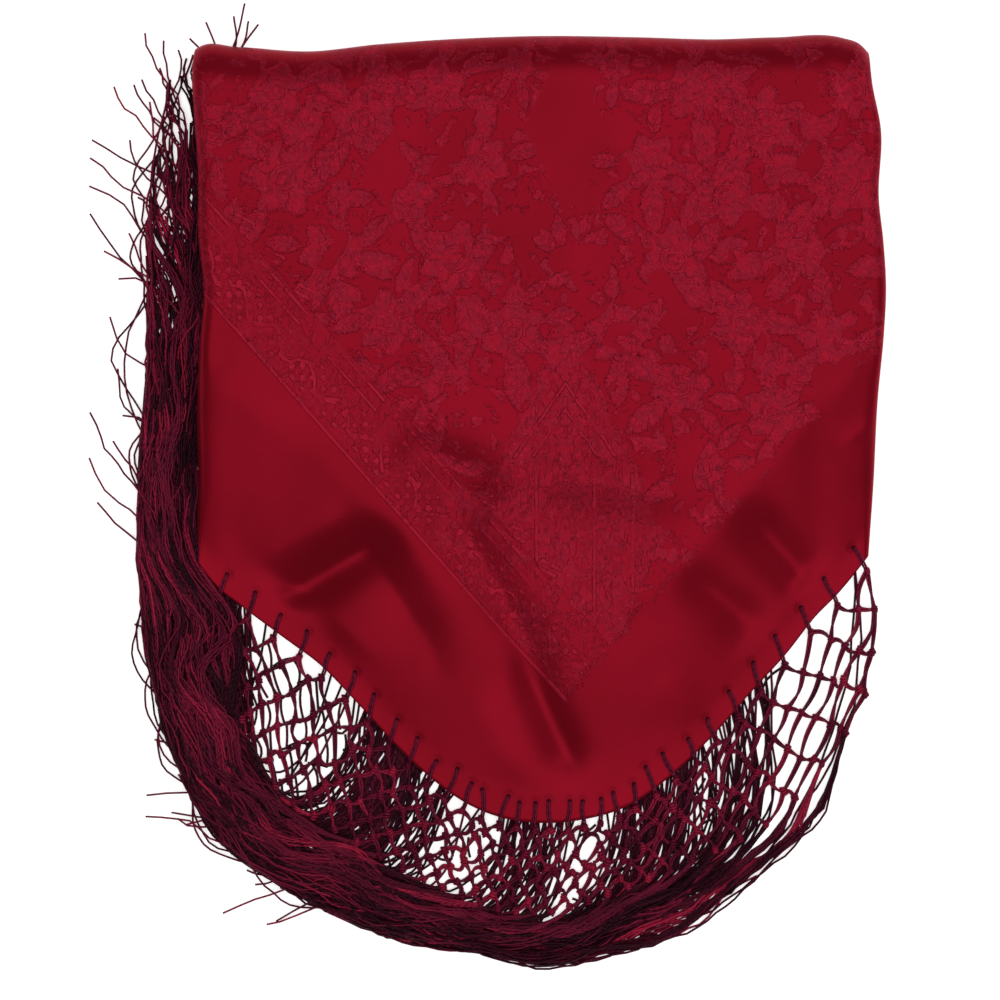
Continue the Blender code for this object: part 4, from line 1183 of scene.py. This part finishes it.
# The free ends that stray out of the sweep: x, y of the tip and the length that strays, mm
STRAY_ENDS = (
    (-89.2, 117.3, 34.0), (-84.5, 115.4, 28.0), (-97.0, 103.8, 36.0), (-102.5, 90.4, 30.0),
    (-103.0, 85.9, 34.0), (-103.2, 78.8, 38.0), (-103.0, 71.9, 34.0), (-93.0, 90.4, 26.0),
    (-90.0, 105.6, 24.0), (-92.0, 104.3, 30.0), (-93.2, 67.0, 22.0), (-95.8, 55.5, 16.0),
    (-103.0, 22.0, 26.0), (-103.2, 10.6, 22.0), (-94.8, 21.2, 18.0), (-97.2, 14.8, 14.0),
    (-101.2, -0.6, 20.0), (-91.8, -31.2, 12.0), (-86.8, -60.2, 12.0), (-88.8, -74.2, 20.0),
    (-89.0, -79.5, 24.0), (-82.5, -78.5, 16.0), (-81.0, -80.0, 14.0), (-79.0, -81.6, 12.0),
    (-63.6, -93.0, 14.0), (-61.5, -96.6, 16.0), (-69.6, -103.8, 26.0), (-58.6, -106.6, 24.0),
    (-56.2, -105.8, 20.0), (-87.0, 96.0, 18.0), (-85.5, 108.5, 20.0), (-98.0, 46.0, 18.0),
    (-99.5, 62.5, 24.0), (-96.0, 33.0, 16.0), (-88.0, 100.0, 24.0), (-91.0, 76.0, 20.0),
)
# Slack yarns that bow out of the sweep and return: x, y of the bow's middle and its half length, mm
BOWS = (
    (-97.8, 35.0, 15.0), (-93.0, 61.0, 9.0), (-92.6, 76.0, 11.0), (-93.0, 9.0, 8.0), (-92.0, -41.0, 10.0),
    (-88.5, -54.0, 9.0), (-85.0, -66.5, 8.0), (-74.5, -86.5, 9.0), (-47.0, -102.5, 13.0), (2.0, -116.0, 17.0),
)
# Ends that come out between the layers above the top fold: where they come out and the tip, mm
TOP_ENDS = (
    (-70.5, 111.5, -73.8, 120.0), (-68.0, 111.0, -63.8, 124.8), (-66.5, 111.0, -62.6, 120.4),
    (-66.0, 111.0, -61.0, 119.4), (-67.0, 111.2, -66.4, 121.6), (-74.0, 110.0, -77.5, 116.0),
)
chance = np.random.default_rng(23)
stray_paths = []
stray_dyes_and_shade = []
for tip_x, tip_y, stray_length in STRAY_ENDS:
    tip_distance = sweep_place(tip_x, tip_y)
    start = max(20 * MM, tip_distance - stray_length * MM - 55 * MM)
    distance = np.linspace(start, max(tip_distance, start + 30 * MM), 34)
    strand = new_strand()
    member = new_member()
    strand["level"] = chance.uniform(0.3, 1.0)
    spot, height = along_sweep(distance, start, np.full(34, chance.uniform(0.3, 0.9)), strand, member)
    stray = (distance - distance[-1] + stray_length * MM) / (stray_length * MM)
    stray = smooth(stray * chance.uniform(0.5, 0.9))
    stray = stray ** chance.uniform(0.8, 1.3)
    stray = stray / stray[-1]
    target = spot + (np.array((tip_x, tip_y)) * MM - spot[-1]) * stray[:, None]
    curl = 4 * stray * (1 - stray) * chance.normal(0, 3.2) * MM
    curl = curl + stray * (1 - stray**3) * waves(distance, member["seeds"], (17 * MM, 8 * MM), 1.3 * MM)
    target = target + curl[:, None] * np.array((0.6, 0.8))
    height = height * (1 - 0.7 * stray) + 0.3 * MM * stray
    stray_paths.append(np.column_stack([target, height]))
    stray_dyes_and_shade.append(chance.uniform(0.1, 0.9))

for _ in range(UPPER_YARNS):
    end = SWEEP_LENGTH - abs(chance.normal(0, 14)) * MM
    distance = np.linspace(SWEEP_LENGTH - chance.uniform(70, 110) * MM, end, 30)
    strand = new_strand()
    member = new_member()
    strand["seeds"] = strand["seeds"] * 0.2
    lane = np.full(30, chance.uniform(0.0, 0.42))
    spot, height = along_sweep(distance, distance[0] - 20 * MM, lane, strand, member)
    stray_paths.append(np.column_stack([spot, height]))
    # Painted shade: the upper yarns, which lie along the packet's left edge, get darker tones for the shade
    # beside the packet.
    stray_dyes_and_shade.append(strand["dye_and_shade"] * 0.6 - 0.15)

for bow_x, bow_y, half_length in BOWS:
    for twin in range(2):
        bow_distance = sweep_place(bow_x, bow_y)
        reach = half_length * MM * (1 + 0.25 * twin)
        first = max(0.0, bow_distance - 3 * reach)
        distance = np.linspace(first, min(SWEEP_LENGTH, bow_distance + 3 * reach), 30)
        strand = new_strand()
        member = new_member()
        spot, height = along_sweep(distance, distance[0] - 20 * MM, np.full(30, 0.88), strand, member)
        bump = np.exp(-(((distance - bow_distance) / reach) ** 2))
        middle = int(np.argmax(bump))
        far = (np.array((bow_x, bow_y)) * MM - spot[middle]) * (1 - 0.3 * twin)
        height = np.maximum(0.3 * MM, height * (1 - 0.6 * bump))
        stray_paths.append(np.column_stack([spot + far * bump[:, None], height]))
        stray_dyes_and_shade.append(chance.uniform(0.0, 0.6))

for from_x, from_y, tip_x, tip_y in TOP_ENDS:
    t = np.linspace(0, 1, 10)[:, None]
    line = np.array((from_x, from_y)) * (1 - t) + np.array((tip_x, tip_y)) * t
    line = line + np.array((0.9, 0.2)) * np.sin(t * math.pi * 1.3) * chance.normal(0.6, 0.8)
    height = 3.2 * MM * (1 - t[:, 0]) + 0.8 * MM
    stray_paths.append(np.column_stack([line * MM, height]))
    stray_dyes_and_shade.append(chance.uniform(0.2, 0.8))
lay_yarn("stray_ends", stray_paths, stray_dyes_and_shade, width=STRAY_WIDTH)
